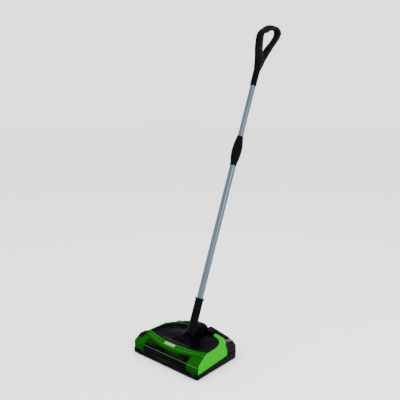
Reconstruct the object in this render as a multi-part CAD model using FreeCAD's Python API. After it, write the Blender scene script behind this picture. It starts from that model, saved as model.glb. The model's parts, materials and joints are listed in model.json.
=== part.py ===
import FreeCAD, Part
import math
import os

from FreeCAD import Vector

# Cordless carpet sweeper. A low head rides on four wheels and carries a driven brush roll,
# a lift-off dust bin, a battery and a motor. A telescopic handle tilts on the head.
# The head is drawn about its own middle: X to the right, front edge towards -Y, floor at Z 0.
# At the end every piece is moved so that the origin is the bottom centre of the whole box.

# ---- head ----
HEAD_W = 324.0          # base, side to side
HEAD_D = 238.6          # base, front to back
SIDE = HEAD_W / 2       # side edge of the base
REAR = HEAD_D / 2       # rear edge of the base; the front edge is at -REAR
WALL = 2.5              # moulded wall
GAP = 0.4               # gap left between two covers that meet
BODY_INSET = 2.0        # covers stand in from the base edge
FRONT_CORNER_R = 8.0
REAR_CORNER_R = 32.0
FLOOR_Z = 4.0           # underside of the base
FLOOR_T = 3.0
INNER_Z = FLOOR_Z + FLOOR_T
FRONT_WALL_Z = 14.5     # top of the base wall under the window
FRONT_WALL_X = SIDE - 12.0
SIDE_WALL_FRONT_Z = 19.2
SIDE_WALL_REAR_Z = 30.4
SIDE_WALL_REAR_Y = REAR - 71.3
TOP_Z = 70.0            # deck and bin ring
SLOT_REAR_Z = 72.0      # rear housing between its two shoulders
REAR_PEAK_Z = 82.0      # rear housing beside the handle
NOSE = ((0, 32.0), (3, 25.0), (10, 17.0), (21, 10.0), (36, 4.5), (56, 1.5), (80, 0))
ROLL = ((0, 20.0), (2, 12.0), (7, 5.0), (18, 0))   # in from the side and down from the top

# ---- ring, deck, window and bin ----
RING_IN = (SIDE - 19.0, REAR - 35.3, 3.0)       # half width, rear reach and squareness, inner edge
RING_OUT = (SIDE - 3.5, REAR - 16.3, 2.5)       # the same for the outer edge
RING_FRONT_Y = 76.3 - REAR                      # where the inner edge turns across the front
RING_BOW = 26.5                                 # its forward bow
RING_MOUTH = 52.0                               # half width of the gap at the back
RING_T = 5.0
RING_LOW_Z = 57.0
DECK_SKIRT = 4.0
WINDOW_X = SIDE - 54.0
BIN_BACK_Y = REAR - 71.3
TROUGH_X = SIDE - 10.0
TROUGH_BACK_Y = 39.8 - REAR
TROUGH_Z = 16.5
TROUGH_H = 18.5
TROUGH_T = 2.0
TROUGH_GAP = 0.2
PLATE = (54.0, 13.0, 0.8)
PLATE_X = -9.0
PLATE_Y = 42.3 - REAR

# ---- wheels ----
WHEEL_R = 19.0
WHEEL_W = 13.0
WHEEL_X = SIDE - 50.0
WHEEL_Y = REAR - 27.3
HUB_R = 14.0
AXLE_R = 2.0
ROLLER_R = 6.5
ROLLER_W = 16.0
ROLLER_X = SIDE - 34.0
ROLLER_Y = 20.3 - REAR
ROLLER_AXLE_R = 1.25
POST_T = 4.0            # posts that hold the axles
POST_EDGE = 3.0         # plastic round an axle
WELL_GAP = 2.0
RUN_FIT = 0.05          # radial clearance of a turning or sliding fit
SIDE_PLAY = 0.6         # end clearance of a turning piece

# ---- brush, motor and belt ----
BRUSH_Y = 75.3 - REAR
BRUSH_Z = 30.0
BRUSH_CORE_R = 11.0
BRUSH_TIP_R = 29.2
BRUSH_LEN = HEAD_W - 58.0
BRUSH_ROWS = 6
BRISTLE_T = 3.0
BRISTLE_ROOT = 3.0      # depth of a bristle row in the core
BRUSH_SHAFT_R = 3.0
BUSH_R = 6.0
BUSH_T = 5.0
BEARING_X = SIDE - 15.0 # inner face of each bearing post
BEARING_EDGE = 9.0      # bearing post round the brush axis
BRUSH_END_GAP = 2.0
HOOD_GAP = 2.3          # bristle tips to hood
HOOD_T = 2.0
MOTOR_Y = BRUSH_Y + 61.0
MOTOR_Z = 33.0
MOTOR_R = 14.0
MOTOR_X0 = SIDE - 94.0
MOTOR_LEN = 56.0
MOTOR_SHAFT_R = 1.6
MOTOR_BACK = 4.0        # closed end of the motor can
CRADLE_T = 4.0
STRAP_W = 10.0
STRAP_T = 1.0
BELT_X = SIDE - 23.5
BELT_W = 7.0
BELT_T = 1.4
BELT_GAP = 0.3
BELT_EDGE = 0.5
FLANGE_T = 1.2
BRUSH_PULLEY_R = 12.0
MOTOR_PULLEY_R = 6.0

# ---- electrics ----
CELL_R = 11.0
CELL_LEN = 43.0
CELL_PITCH = 22.6
CELL_END_GAP = 1.0
TRAY_X = -30.0          # inner end of the battery tray
TRAY_Y = MOTOR_Y - 9.0
BOARD = (56.0, 30.0, 1.6)
BOARD_AT = (36.0, MOTOR_Y + 43.0, 24.0)
BOARD_POST_R = 2.5
BOARD_POST_IN = 4.0
JACK_X = 60.0
JACK_Z = 19.0
JACK_BORE_R = 2.8
JACK_BORE_LEN = 10.0
JACK_BARREL_R = 4.5
JACK_HALF = 6.0
JACK_LEN = 13.0

# ---- buttons ----
BUTTON_X = SIDE - 36.0
BUTTON_Y = REAR - 18.7
BUTTON_Z = 61.5
BUTTON_R = 7.6
BUTTON_H = 8.0
BUTTON_STEM_R = 3.0
BUTTON_TRAVEL = 3.0
BUTTON_GAP = 0.3
BEZEL_R = 10.5
BEZEL_H = 13.0
SPRING_R = (4.0, 5.0)
SWITCH_TOP_Z = 44.0
BUTTON_STEM_Z = SWITCH_TOP_Z + BUTTON_TRAVEL + 1.0   # the stem stops just short of it
SWITCH_H = 8.0
SWITCH_HALF = 6.0
LATCH_T = 3.5
LATCH_NOSE_T = 4.0
LATCH_REACH = 24.0      # latch nose in front of the button
LATCH_TAIL = 5.5

# ---- handle ----
HANDLE_TILT = 21.98     # degrees back from upright
PIVOT_Y = REAR - 56.3
PIVOT_Z = 58.0
HANDLE_Y = PIVOT_Y - 42.1   # where the handle axis crosses HANDLE_Z
HANDLE_Z = 55.0
PIVOT_PIN_R = 4.0
EAR_T = 4.0
EAR_HALF = 14.0
EAR_EDGE = 4.5
KNUCKLE_R = 48.5
KNUCKLE_HALF = 22.0
KNUCKLE_GAP = 1.5
KNUCKLE_ROUND = 9.0
KNUCKLE_WALL = 3.0
KNUCKLE_MOUTH = 20.0    # half width of the opening under the hollow knuckle
SCREW_R = 2.0
SCREW_HEAD_R = 3.5
SCREW_HEAD_T = 1.8
BASE_SCREWS = [(-75, REAR - 13.3), (75, REAR - 13.3), (-60, 21.3 - REAR), (60, 21.3 - REAR)]
BOSS_TOP_Z = 15.0
NECK_TOP = 150.0        # heights from here on run up the handle axis
SOCKET_LEN = 50.0
NECK_CORE = 4.0         # wall under the tube socket
TUBE_R = 12.5
NECK_R = TUBE_R + 3.5
RING_R = NECK_R + 4.0
FLANGE_H = 6.5
TUBE_WALL = 1.0
UPPER_R = 11.0
COLLAR_BASE = 686.0
COLLAR_SPLIT = 716.0
COLLAR_TOP = 806.0
COLLAR_R = TUBE_R + 7.5
COLLAR_FOOT_R = TUBE_R + 5.0
BUSH_TOP = 784.0
UPPER_BOTTOM = 600.0
PLUG_LEN = (14.0, 16.0) # below and above the end of the upper tube
GRIP_BOTTOM = 1018.0
GRIP_SOCKET = 46.0
GRIP_HALF = 11.0
GRIP_STEM_R = 13.5
GRIP_STEM_TOP = 1128.0
GRIP_WALL = 3.0
GRIP_ROUND = 6.0
GRIP_BOSS_R = 4.5
GRIP_SCREWS = [(-27, 1165), (48, 1190), (30, 1283.5)]

# Loop of the grip as (back, up) points from the handle axis.
OUTER_LOOP = [(-13, 1120), (-25, 1125), (-40, 1149), (-51, 1189), (-51, 1218), (-37, 1243),
              (-3, 1277), (39, 1296), (70, 1302), (92, 1295), (95, 1280), (86, 1252),
              (62, 1206), (43, 1158), (25, 1120)]
INNER_LOOP = [(4, 1166), (-9, 1195), (-15, 1225), (-10, 1239), (2, 1244), (16, 1259),
              (32, 1271), (46, 1278), (56, 1275), (57, 1261), (45, 1232), (24, 1198), (13, 1176)]


def block(x0, x1, y0, y1, z0, z1):
    return Part.makeBox(x1 - x0, y1 - y0, z1 - z0, Vector(x0, y0, z0))


def rod_x(x0, x1, y, z, r):
    return Part.makeCylinder(r, x1 - x0, Vector(x0, y, z), Vector(1, 0, 0))


def rod_y(x, y0, y1, z, r):
    return Part.makeCylinder(r, y1 - y0, Vector(x, y0, z), Vector(0, 1, 0))


def rod_z(x, y, z0, z1, r):
    return Part.makeCylinder(r, z1 - z0, Vector(x, y, z0))


def prism(points, along):
    wire = Part.makePolygon(points + [points[0]])
    return Part.Face(wire).extrude(along)


def prism_x(yz, x0, x1):
    return prism([Vector(x0, y, z) for y, z in yz], Vector(x1 - x0, 0, 0))


def mirrored(shape):
    return shape.mirror(Vector(0, 0, 0), Vector(1, 0, 0))


def solid(shape):
    """The single solid of a boolean result, with leftover seams joined."""
    clean = shape.removeSplitter()
    return clean.Solids[0] if len(clean.Solids) == 1 else clean


# ---- outlines of the head ----
def plan(inset, z0, z1):
    """Head outline seen from above: small front corners, wide round rear corners."""
    half = SIDE - inset
    front = inset - REAR
    rear = REAR - inset
    body = block(-half, half, front, rear, z0, z1)
    upright = [e for e in body.Edges if abs(e.tangentAt(e.FirstParameter).z) > 0.99]
    rears = [e for e in upright if e.CenterOfMass.y > 0]
    body = body.makeFillet(REAR_CORNER_R - inset, rears)
    upright = [e for e in body.Edges if abs(e.tangentAt(e.FirstParameter).z) > 0.99]
    fronts = [e for e in upright if e.CenterOfMass.y < front + 1]
    return body.makeFillet(FRONT_CORNER_R - inset, fronts)


def upper_body(inset):
    """Outer form of bin and deck: rounded nose, flat top, rolled sides."""
    front = BODY_INSET + inset - REAR
    top = TOP_Z - inset
    nose = [(front, 0)] + [(front + back, top - drop) for back, drop in NOSE]
    side = prism_x(nose + [(REAR, top), (REAR, 0)], -SIDE, SIDE)
    half = SIDE - BODY_INSET - inset
    roll = [(half, 0)] + [(half - across, top - drop) for across, drop in ROLL]
    loop = roll + [(-x, z) for x, z in reversed(roll)]
    across = prism([Vector(x, -REAR, z) for x, z in loop], Vector(0, HEAD_D, 0))
    return side.common(across).common(plan(BODY_INSET + inset, 0, TOP_Z))


def rear_curve(spec, steps):
    """Points of a squared-off half ellipse from the right side round the back to the left."""
    half, reach, power = spec
    span = reach - RING_FRONT_Y
    out = []
    for i in range(steps + 1):
        a = math.pi * i / steps
        c, s = math.cos(a), math.sin(a)
        x = half * math.copysign(abs(c) ** (2 / power), c)
        out.append((x, RING_FRONT_Y + span * s ** (2 / power)))
    return out


def deck_outline(grow):
    half = RING_IN[0] + grow
    front = []
    for i in range(1, 12):
        u = -1 + i / 6
        front.append((half * u, RING_FRONT_Y - RING_BOW * (1 - u * u) - grow))
    return rear_curve((half, RING_IN[1] + grow, RING_IN[2]), 36) + front


def deck_prism(grow, z0, z1):
    return prism([Vector(x, y, z0) for x, y in deck_outline(grow)], Vector(0, 0, z1 - z0))


def ring_prism(grow, z0, z1):
    """Everything inside the ring's outer edge."""
    pts = rear_curve((RING_OUT[0] + grow, RING_OUT[1] + grow, RING_OUT[2]), 36)
    pts = [(SIDE, RING_FRONT_Y)] + pts + [(-SIDE, RING_FRONT_Y), (-SIDE, -REAR), (SIDE, -REAR)]
    return prism([Vector(x, y, z0) for x, y in pts], Vector(0, 0, z1 - z0))


def seam(gap):
    """Space above the sloping line where the bin meets the base."""
    y0 = -REAR
    pts = [(y0 - 1, SIDE_WALL_FRONT_Z + gap), (SIDE_WALL_REAR_Y, SIDE_WALL_REAR_Z + gap),
           (HEAD_D, SIDE_WALL_REAR_Z + gap), (HEAD_D, HEAD_D), (y0 - 1, HEAD_D)]
    return prism_x(pts, -HEAD_W, HEAD_W)


# ---- base ----
def wheel_sites():
    for side in (-1, 1):
        yield side, WHEEL_X, WHEEL_Y, WHEEL_R, WHEEL_W, WHEEL_R, AXLE_R
        yield side, ROLLER_X, ROLLER_Y, ROLLER_R, ROLLER_W, ROLLER_R, ROLLER_AXLE_R


def axle_posts():
    """A pair of posts with an axle hole for each wheel and roller, and the well round it."""
    posts = []
    wells = []
    for side, x, y, z, w, r, axle in wheel_sites():
        well = r + WELL_GAP
        reach = w / 2 + WELL_GAP
        wells.append(block(side * x - reach, side * x + reach, y - well, y + well, 0, INNER_Z + 1))
        edge = axle + POST_EDGE
        for end in (-1, 1):
            face = side * x + end * (w / 2 + SIDE_PLAY)
            x0, x1 = sorted((face, face + end * POST_T))
            posts.append(block(x0, x1, y - edge, y + edge, FLOOR_Z, z + edge))
    return posts, wells


def base_chassis():
    body = plan(0, FLOOR_Z, SIDE_WALL_REAR_Z).cut(seam(0))
    body = body.cut(plan(WALL, INNER_Z, HEAD_D))
    body = body.cut(block(-FRONT_WALL_X, FRONT_WALL_X, -HEAD_D, 10 - REAR, FRONT_WALL_Z, HEAD_D))
    mouth = BRUSH_TIP_R + HOOD_GAP
    half = BRUSH_LEN / 2 + BRUSH_END_GAP
    body = body.cut(block(-half, half, BRUSH_Y - mouth, BRUSH_Y + mouth, 0, INNER_Z + 1))
    posts, wells = axle_posts()
    body = body.cut(wells).fuse(posts)
    for side, x, y, z, w, r, axle in wheel_sites():
        body = body.cut(rod_x(side * x - w, side * x + w, y, z, axle))
    for side in (-1, 1):
        x0, x1 = sorted((side * BEARING_X, side * (BEARING_X + BUSH_T)))
        edge = BEARING_EDGE
        post = block(x0, x1, BRUSH_Y - edge, BRUSH_Y + edge, INNER_Z, BRUSH_Z + edge)
        body = body.fuse(post.cut(rod_x(x0, x1, BRUSH_Y, BRUSH_Z, BUSH_R)))
        x0, x1 = sorted((side * (BUTTON_X - 5), side * (BUTTON_X + 7)))
        body = body.fuse(block(x0, x1, BUTTON_Y + 2, BUTTON_Y + 9, INNER_Z, SWITCH_TOP_Z - SWITCH_H))
    bx, by, bz = BOARD_AT
    for dx in (BOARD_POST_IN, BOARD[0] - BOARD_POST_IN):
        for dy in (BOARD_POST_IN, BOARD[1] - BOARD_POST_IN):
            body = body.fuse(rod_z(bx + dx, by + dy, INNER_Z, bz, BOARD_POST_R))
    for x, y in BASE_SCREWS:
        body = body.fuse(rod_z(x, y, INNER_Z, BOSS_TOP_Z, 2 * SCREW_R)).cut(base_screw(x, y))
    return solid(body.cut(rod_y(JACK_X, REAR - 2 * WALL, REAR + WALL, JACK_Z, JACK_BARREL_R)))


def brush_hood():
    r0 = BRUSH_TIP_R + HOOD_GAP
    r1 = r0 + HOOD_T
    half = BRUSH_LEN / 2 + BRUSH_END_GAP
    shell = rod_x(-half, half, BRUSH_Y, BRUSH_Z, r1).cut(rod_x(-half, half, BRUSH_Y, BRUSH_Z, r0))
    shell = shell.cut(block(-half, half, BRUSH_Y - r1, BRUSH_Y + r1, BRUSH_Z - r1, INNER_Z))
    open_y = BRUSH_Y - r0 * 0.6
    return solid(shell.cut(block(-half, half, BRUSH_Y - r1, open_y, BRUSH_Z - r1, BRUSH_Z + r1)))


# ---- brush roll ----
def brush_shaft():
    end = BEARING_X + BUSH_T
    return rod_x(-end, end, BRUSH_Y, BRUSH_Z, BRUSH_SHAFT_R)


def bristle_rows():
    half = BRUSH_LEN / 2
    root = BRUSH_CORE_R - BRISTLE_ROOT
    row = block(-half, half, -BRISTLE_T / 2, BRISTLE_T / 2, root, BRUSH_TIP_R - RUN_FIT)
    rows = []
    for i in range(BRUSH_ROWS):
        one = row.copy()
        one.rotate(Vector(0, 0, 0), Vector(1, 0, 0), 360.0 * i / BRUSH_ROWS)
        one.translate(Vector(0, BRUSH_Y, BRUSH_Z))
        rows.append(one)
    return rows


def brush_core():
    core = rod_x(-BRUSH_LEN / 2, BRUSH_LEN / 2, BRUSH_Y, BRUSH_Z, BRUSH_CORE_R)
    core = core.cut(rod_x(-BRUSH_LEN, BRUSH_LEN, BRUSH_Y, BRUSH_Z, BRUSH_SHAFT_R))
    return solid(core.cut(Part.makeCompound(bristle_rows())))


def pulley(x, y, z, r, bore):
    flange = rod_x(x - FLANGE_T, x, y, z, r + BELT_T + 1)
    wheel = rod_x(x, x + BELT_W, y, z, r).fuse(flange)
    return solid(wheel.cut(rod_x(x - FLANGE_T, x + BELT_W, y, z, bore)))


def bearing_bush(side):
    x0, x1 = sorted((side * BEARING_X, side * (BEARING_X + BUSH_T)))
    ring = rod_x(x0, x1, BRUSH_Y, BRUSH_Z, BUSH_R)
    return ring.cut(rod_x(x0, x1, BRUSH_Y, BRUSH_Z, BRUSH_SHAFT_R + RUN_FIT))


def belt_solid(grow):
    """Band round both pulleys, standing off them by the given amount."""
    r1, r2 = BRUSH_PULLEY_R + grow, MOTOR_PULLEY_R + grow
    dy, dz = MOTOR_Y - BRUSH_Y, MOTOR_Z - BRUSH_Z
    line = math.atan2(dz, dy)
    lean = math.acos((r1 - r2) / math.hypot(dy, dz))
    pts = []
    for sign, y, z, r in ((1, BRUSH_Y, BRUSH_Z, r1), (1, MOTOR_Y, MOTOR_Z, r2),
                          (-1, MOTOR_Y, MOTOR_Z, r2), (-1, BRUSH_Y, BRUSH_Z, r1)):
        a = line + sign * lean
        pts.append((y + r * math.cos(a), z + r * math.sin(a)))
    x0, x1 = BELT_X + BELT_EDGE, BELT_X + BELT_W - BELT_EDGE
    body = prism_x(pts, x0, x1)
    return body.fuse([rod_x(x0, x1, BRUSH_Y, BRUSH_Z, r1), rod_x(x0, x1, MOTOR_Y, MOTOR_Z, r2)])


# ---- motor and electrics ----
def motor_can():
    end = MOTOR_X0 + MOTOR_LEN
    can = rod_x(MOTOR_X0, end, MOTOR_Y, MOTOR_Z, MOTOR_R)
    return can.cut(rod_x(MOTOR_X0 + MOTOR_BACK, end, MOTOR_Y, MOTOR_Z, MOTOR_SHAFT_R + RUN_FIT))


def motor_cradle():
    ribs = []
    for x in (MOTOR_X0 + 8, MOTOR_X0 + MOTOR_LEN - 12):
        rib = block(x, x + CRADLE_T, MOTOR_Y - MOTOR_R - 2, MOTOR_Y + MOTOR_R + 6, INNER_Z, MOTOR_Z)
        ribs.append(rib.cut(rod_x(x, x + CRADLE_T, MOTOR_Y, MOTOR_Z, MOTOR_R)))
    return Part.makeCompound(ribs)


def motor_strap():
    x0 = MOTOR_X0 + 20
    x1 = x0 + STRAP_W
    band = rod_x(x0, x1, MOTOR_Y, MOTOR_Z, MOTOR_R + STRAP_T)
    band = band.cut(rod_x(x0, x1, MOTOR_Y, MOTOR_Z, MOTOR_R))
    return solid(band.common(block(x0, x1, -HEAD_D, HEAD_D, MOTOR_Z - 4, HEAD_D)))


def battery_cells():
    cells = []
    for i in (0, 1):
        for j in (0, 1):
            x1 = TRAY_X - WALL - i * (CELL_LEN + CELL_END_GAP)
            y = TRAY_Y + WALL + CELL_R + j * CELL_PITCH
            cells.append(rod_x(x1 - CELL_LEN, x1, y, INNER_Z + WALL + CELL_R, CELL_R))
    return Part.makeCompound(cells)


def battery_tray():
    x1 = TRAY_X
    x0 = x1 - 2 * (CELL_LEN + WALL) - CELL_END_GAP
    y0 = TRAY_Y
    y1 = y0 + CELL_PITCH + 2 * (CELL_R + WALL)
    tray = block(x0, x1, y0, y1, INNER_Z, INNER_Z + WALL + CELL_R)
    return tray.cut(block(x0 + WALL, x1 - WALL, y0 + WALL, y1 - WALL, INNER_Z + WALL, HEAD_D))


def circuit_board():
    x, y, z = BOARD_AT
    return block(x, x + BOARD[0], y, y + BOARD[1], z, z + BOARD[2])


def board_parts():
    x, y, z = BOARD_AT
    top = z + BOARD[2]
    return Part.makeCompound([block(x + 8, x + 22, y + 8, y + 18, top, top + 3),
                              rod_z(x + 32, y + 12, top, top + 11, 4),
                              rod_z(x + 44, y + 20, top, top + 9, 3.2)])


def charge_jack():
    face = REAR - WALL
    z0, z1 = JACK_Z - JACK_HALF, JACK_Z + JACK_HALF
    body = block(JACK_X - JACK_HALF, JACK_X + JACK_HALF, face - JACK_LEN, face, z0, z1)
    body = body.fuse(rod_y(JACK_X, face, REAR, JACK_Z, JACK_BARREL_R))
    return solid(body.cut(rod_y(JACK_X, REAR - JACK_BORE_LEN, REAR, JACK_Z, JACK_BORE_R)))


def switch_block(side):
    """Body under a button: the switch on the right, the guide of the release on the left."""
    x = side * BUTTON_X
    low = SWITCH_TOP_Z - SWITCH_H
    return block(x - SWITCH_HALF, x + SWITCH_HALF, BUTTON_Y - 5, BUTTON_Y + 9, low, SWITCH_TOP_Z)


# ---- buttons ----
def button(side):
    x = side * BUTTON_X
    low = BUTTON_Z - BUTTON_H
    cap = rod_z(x, BUTTON_Y, low, BUTTON_Z, BUTTON_R)
    cap = cap.makeFillet(1.2, [e for e in cap.Edges if e.Closed and e.CenterOfMass.z > BUTTON_Z - 1])
    return solid(cap.fuse(rod_z(x, BUTTON_Y, BUTTON_STEM_Z, low, BUTTON_STEM_R)))


def button_bezel(side):
    x = side * BUTTON_X
    top = BUTTON_Z - 1
    ring = rod_z(x, BUTTON_Y, top - BEZEL_H, top, BEZEL_R)
    ring = ring.makeChamfer(1.0, [e for e in ring.Edges if e.Closed and e.CenterOfMass.z > top - 1])
    return ring.cut(rod_z(x, BUTTON_Y, top - BEZEL_H, top, BUTTON_R + BUTTON_GAP))


def button_spring(side):
    x = side * BUTTON_X
    inner, outer = SPRING_R
    low, top = SWITCH_TOP_Z, BUTTON_Z - BUTTON_H
    return rod_z(x, BUTTON_Y, low, top, outer).cut(rod_z(x, BUTTON_Y, low, top, inner))


def release_latch():
    """Sliding catch under the left button. Its nose stands just short of the lip inside the bin."""
    x0, x1 = -BUTTON_X - SWITCH_HALF, -BUTTON_X + SWITCH_HALF
    top = SWITCH_TOP_Z - SWITCH_H - BUTTON_GAP
    front = BUTTON_Y - LATCH_REACH
    slide = block(x0, x1, front, BUTTON_Y - LATCH_TAIL, top - LATCH_T, top)
    nose = block(x0, x1, front, front + LATCH_NOSE_T, top - LATCH_T, SWITCH_TOP_Z + LATCH_NOSE_T)
    return solid(slide.fuse(nose))


# ---- covers ----
def rear_section(y, pts):
    loop = pts + [(-x, z) for x, z in reversed(pts)]
    vs = [Vector(x, y, z) for x, z in loop]
    return Part.makePolygon(vs + [vs[0]])


def rear_form(inset):
    """Domed rear: rises to two shoulders beside the handle and falls to the rear corners."""
    low = SIDE_WALL_REAR_Z + GAP
    edge = SIDE - BODY_INSET
    peak = REAR_PEAK_Z
    sections = (
        (SIDE_WALL_REAR_Y - 10, [(edge, 58), (edge - 10, 66), (edge - 48, 70), (edge - 90, 71), (34, 71)]),
        (REAR - 39.3, [(edge, 44), (edge - 14, 60), (edge - 48, 70), (edge - 90, 76), (34, peak - 3)]),
        (REAR - BODY_INSET, [(edge, 33), (edge - 22, 46), (edge - 51, 61), (edge - 93, 73), (34, peak)]))
    wires = []
    for y, top in sections:
        shifted = [(x - inset, z - inset) for x, z in top]
        wires.append(rear_section(y, [(edge - inset, low - 1)] + shifted))
    form = Part.makeLoft(wires, True, True)
    return form.common(plan(BODY_INSET + inset, low, HEAD_D))


def pivot_local():
    """The pivot as (back, up) from the foot of the handle axis."""
    t = math.radians(HANDLE_TILT)
    dy, dz = PIVOT_Y - HANDLE_Y, PIVOT_Z - HANDLE_Z
    return dy * math.cos(t) - dz * math.sin(t), dy * math.sin(t) + dz * math.cos(t)


def knuckle_slot(z0, z1):
    half = KNUCKLE_HALF + KNUCKLE_GAP
    front = PIVOT_Y - pivot_local()[0] - NECK_R - KNUCKLE_GAP
    return block(-half, half, front, PIVOT_Y + KNUCKLE_R + KNUCKLE_GAP, z0, z1)


def rear_housing():
    low = SIDE_WALL_REAR_Z + GAP
    shell = rear_form(0).cut(rear_form(WALL))
    shell = shell.cut(block(-HEAD_W, HEAD_W, 0, SIDE_WALL_REAR_Y, 0, HEAD_D))
    mouth = block(-RING_MOUTH, RING_MOUTH, RING_IN[1] + GAP, HEAD_D, 0, HEAD_D)
    shell = shell.cut(ring_prism(GAP, 0, HEAD_D).cut(mouth))
    shell = shell.cut(knuckle_slot(low + 5, HEAD_D))
    half = KNUCKLE_HALF + KNUCKLE_GAP
    shell = shell.cut(block(-half, half, 0, HEAD_D, SLOT_REAR_Z, HEAD_D))
    for side in (-1, 1):
        shell = shell.cut(rod_z(side * BUTTON_X, BUTTON_Y, 40, HEAD_D, BEZEL_R))
    return solid(shell)


def deck_cover():
    plate = deck_prism(-GAP, TOP_Z - WALL, TOP_Z).cut(knuckle_slot(0, HEAD_D))
    skirt = deck_prism(-GAP, TOP_Z - WALL - DECK_SKIRT, TOP_Z - WALL).cut(deck_prism(-GAP - WALL, 0, TOP_Z))
    return solid(plate.fuse(skirt.cut(knuckle_slot(0, HEAD_D))))


# ---- dust bin ----
def bin_bezel():
    """Ring round the deck, with the wide strip across the front of it."""
    ring = upper_body(0).cut(upper_body(RING_T)).common(ring_prism(0, RING_LOW_Z, HEAD_D))
    ring = ring.cut(deck_prism(0, 0, HEAD_D))
    ring = ring.cut(block(-RING_MOUTH - GAP, RING_MOUTH + GAP, 0, HEAD_D, 0, HEAD_D))
    return solid(ring)


def bin_side(side):
    """End panel: outer side and the front corner beside the window."""
    shell = upper_body(0).cut(upper_body(WALL)).common(seam(GAP))
    x0, x1 = sorted((side * HEAD_W, side * WINDOW_X))
    return solid(shell.common(block(x0, x1, -HEAD_D, BIN_BACK_Y - GAP, 0, RING_LOW_Z)))


def bin_window():
    shell = upper_body(0).cut(upper_body(WALL))
    return solid(shell.common(block(-WINDOW_X, WINDOW_X, -HEAD_D, 0, FRONT_WALL_Z + GAP, RING_LOW_Z)))


def bin_trough():
    front = BODY_INSET + WALL + TROUGH_GAP - REAR
    box = block(-TROUGH_X, TROUGH_X, front, TROUGH_BACK_Y, TROUGH_Z, TROUGH_Z + TROUGH_H)
    t = TROUGH_T
    x = TROUGH_X - t
    return box.cut(block(-x, x, front + t, TROUGH_BACK_Y - t, TROUGH_Z + t, HEAD_D))


def badge_plate():
    w, d, t = PLATE
    x, y = PLATE_X, PLATE_Y
    cut = block(x - w / 2, x + w / 2, y - d / 2, y + d / 2, TOP_Z - 8, HEAD_D)
    skin = upper_body(-t).common(cut)
    return solid(skin.cut(upper_body(0)))


# ---- handle ----
def along(shape):
    """Carries a piece drawn upright on the Z axis to the tilted handle axis."""
    out = shape.copy()
    out.rotate(Vector(0, 0, 0), Vector(1, 0, 0), -HANDLE_TILT)
    out.translate(Vector(0, HANDLE_Y, HANDLE_Z))
    return out


def tube(r0, r1, v0, v1):
    return rod_z(0, 0, v0, v1, r1).cut(rod_z(0, 0, v0, v1, r0))


def turned(pts):
    """Solid turned about the handle axis from (radius, height) points."""
    wire = Part.makePolygon([Vector(r, 0, v) for r, v in pts + [pts[0]]])
    return Part.Face(wire).revolve(Vector(0, 0, 0), Vector(0, 0, 1), 360)


def neck():
    u, v = pivot_local()
    disc = rod_x(-KNUCKLE_HALF, KNUCKLE_HALF, u, v, KNUCKLE_R)
    disc = disc.makeFillet(KNUCKLE_ROUND, [e for e in disc.Edges if e.Closed])
    inner = KNUCKLE_HALF - KNUCKLE_WALL
    void = rod_x(-inner, inner, u, v, KNUCKLE_R - KNUCKLE_WALL - 2)
    void = void.fuse(block(-inner, inner, u - KNUCKLE_MOUTH, u + KNUCKLE_MOUTH, v - KNUCKLE_R, v))
    disc = disc.cut(void).fuse(rod_x(-KNUCKLE_HALF, KNUCKLE_HALF, u, v, 2.5 * PIVOT_PIN_R))
    body = disc.fuse(rod_z(0, 0, v, NECK_TOP, NECK_R))
    body = body.fuse(block(-NECK_R, NECK_R, 0, u, v + 20, v + KNUCKLE_R * 0.72))
    body = body.cut(rod_z(0, 0, v + 30, NECK_TOP, TUBE_R - NECK_CORE))
    body = body.cut(rod_z(0, 0, NECK_TOP - SOCKET_LEN, NECK_TOP, TUBE_R)).cut(screw_shank())
    return along(solid(body.cut(rod_x(-2 * KNUCKLE_HALF, 2 * KNUCKLE_HALF, u, v, PIVOT_PIN_R + RUN_FIT))))


def screw_shank():
    v = NECK_TOP - SOCKET_LEN / 2
    return rod_y(0, TUBE_R - NECK_CORE, NECK_R, v, SCREW_R)


def tube_screw():
    v = NECK_TOP - SOCKET_LEN / 2
    return along(screw_shank().fuse(rod_y(0, NECK_R, NECK_R + SCREW_HEAD_T, v, SCREW_HEAD_R)))


def lower_tube():
    body = tube(TUBE_R - TUBE_WALL, TUBE_R, NECK_TOP - SOCKET_LEN, COLLAR_SPLIT)
    return along(body.cut(screw_shank()))


def collar_base():
    low, top = COLLAR_BASE, COLLAR_SPLIT
    return along(turned([(TUBE_R, low), (TUBE_R + 1, low), (TUBE_R + 1.5, low + 18),
                         (COLLAR_FOOT_R - 0.5, low + 24), (COLLAR_FOOT_R, top - GAP), (TUBE_R, top - GAP)]))


def twist_collar():
    low, top = COLLAR_SPLIT, COLLAR_TOP
    bore = TUBE_R + RUN_FIT
    lip = UPPER_R + 2 * BUTTON_GAP
    return along(turned([(bore, low), (COLLAR_FOOT_R, low), (COLLAR_R - 0.6, low + 14),
                         (COLLAR_R, low + 24), (COLLAR_R, low + 34), (COLLAR_R - 0.8, low + 49),
                         (TUBE_R + 4, low + 69), (TUBE_R + 1.1, low + 80), (TUBE_R + 0.1, top), (lip, top),
                         (lip, BUSH_TOP + GAP), (bore, BUSH_TOP + GAP)]))


def clamp_bush():
    return along(tube(UPPER_R + RUN_FIT, TUBE_R, COLLAR_SPLIT, BUSH_TOP))


def upper_tube():
    return along(tube(UPPER_R - TUBE_WALL, UPPER_R, UPPER_BOTTOM, GRIP_BOTTOM + GRIP_SOCKET))


def tube_plug():
    run = TUBE_R - TUBE_WALL - RUN_FIT
    below, above = PLUG_LEN
    body = rod_z(0, 0, UPPER_BOTTOM - below, UPPER_BOTTOM, run)
    return along(body.fuse(rod_z(0, 0, UPPER_BOTTOM, UPPER_BOTTOM + above, UPPER_R - TUBE_WALL)))


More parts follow.
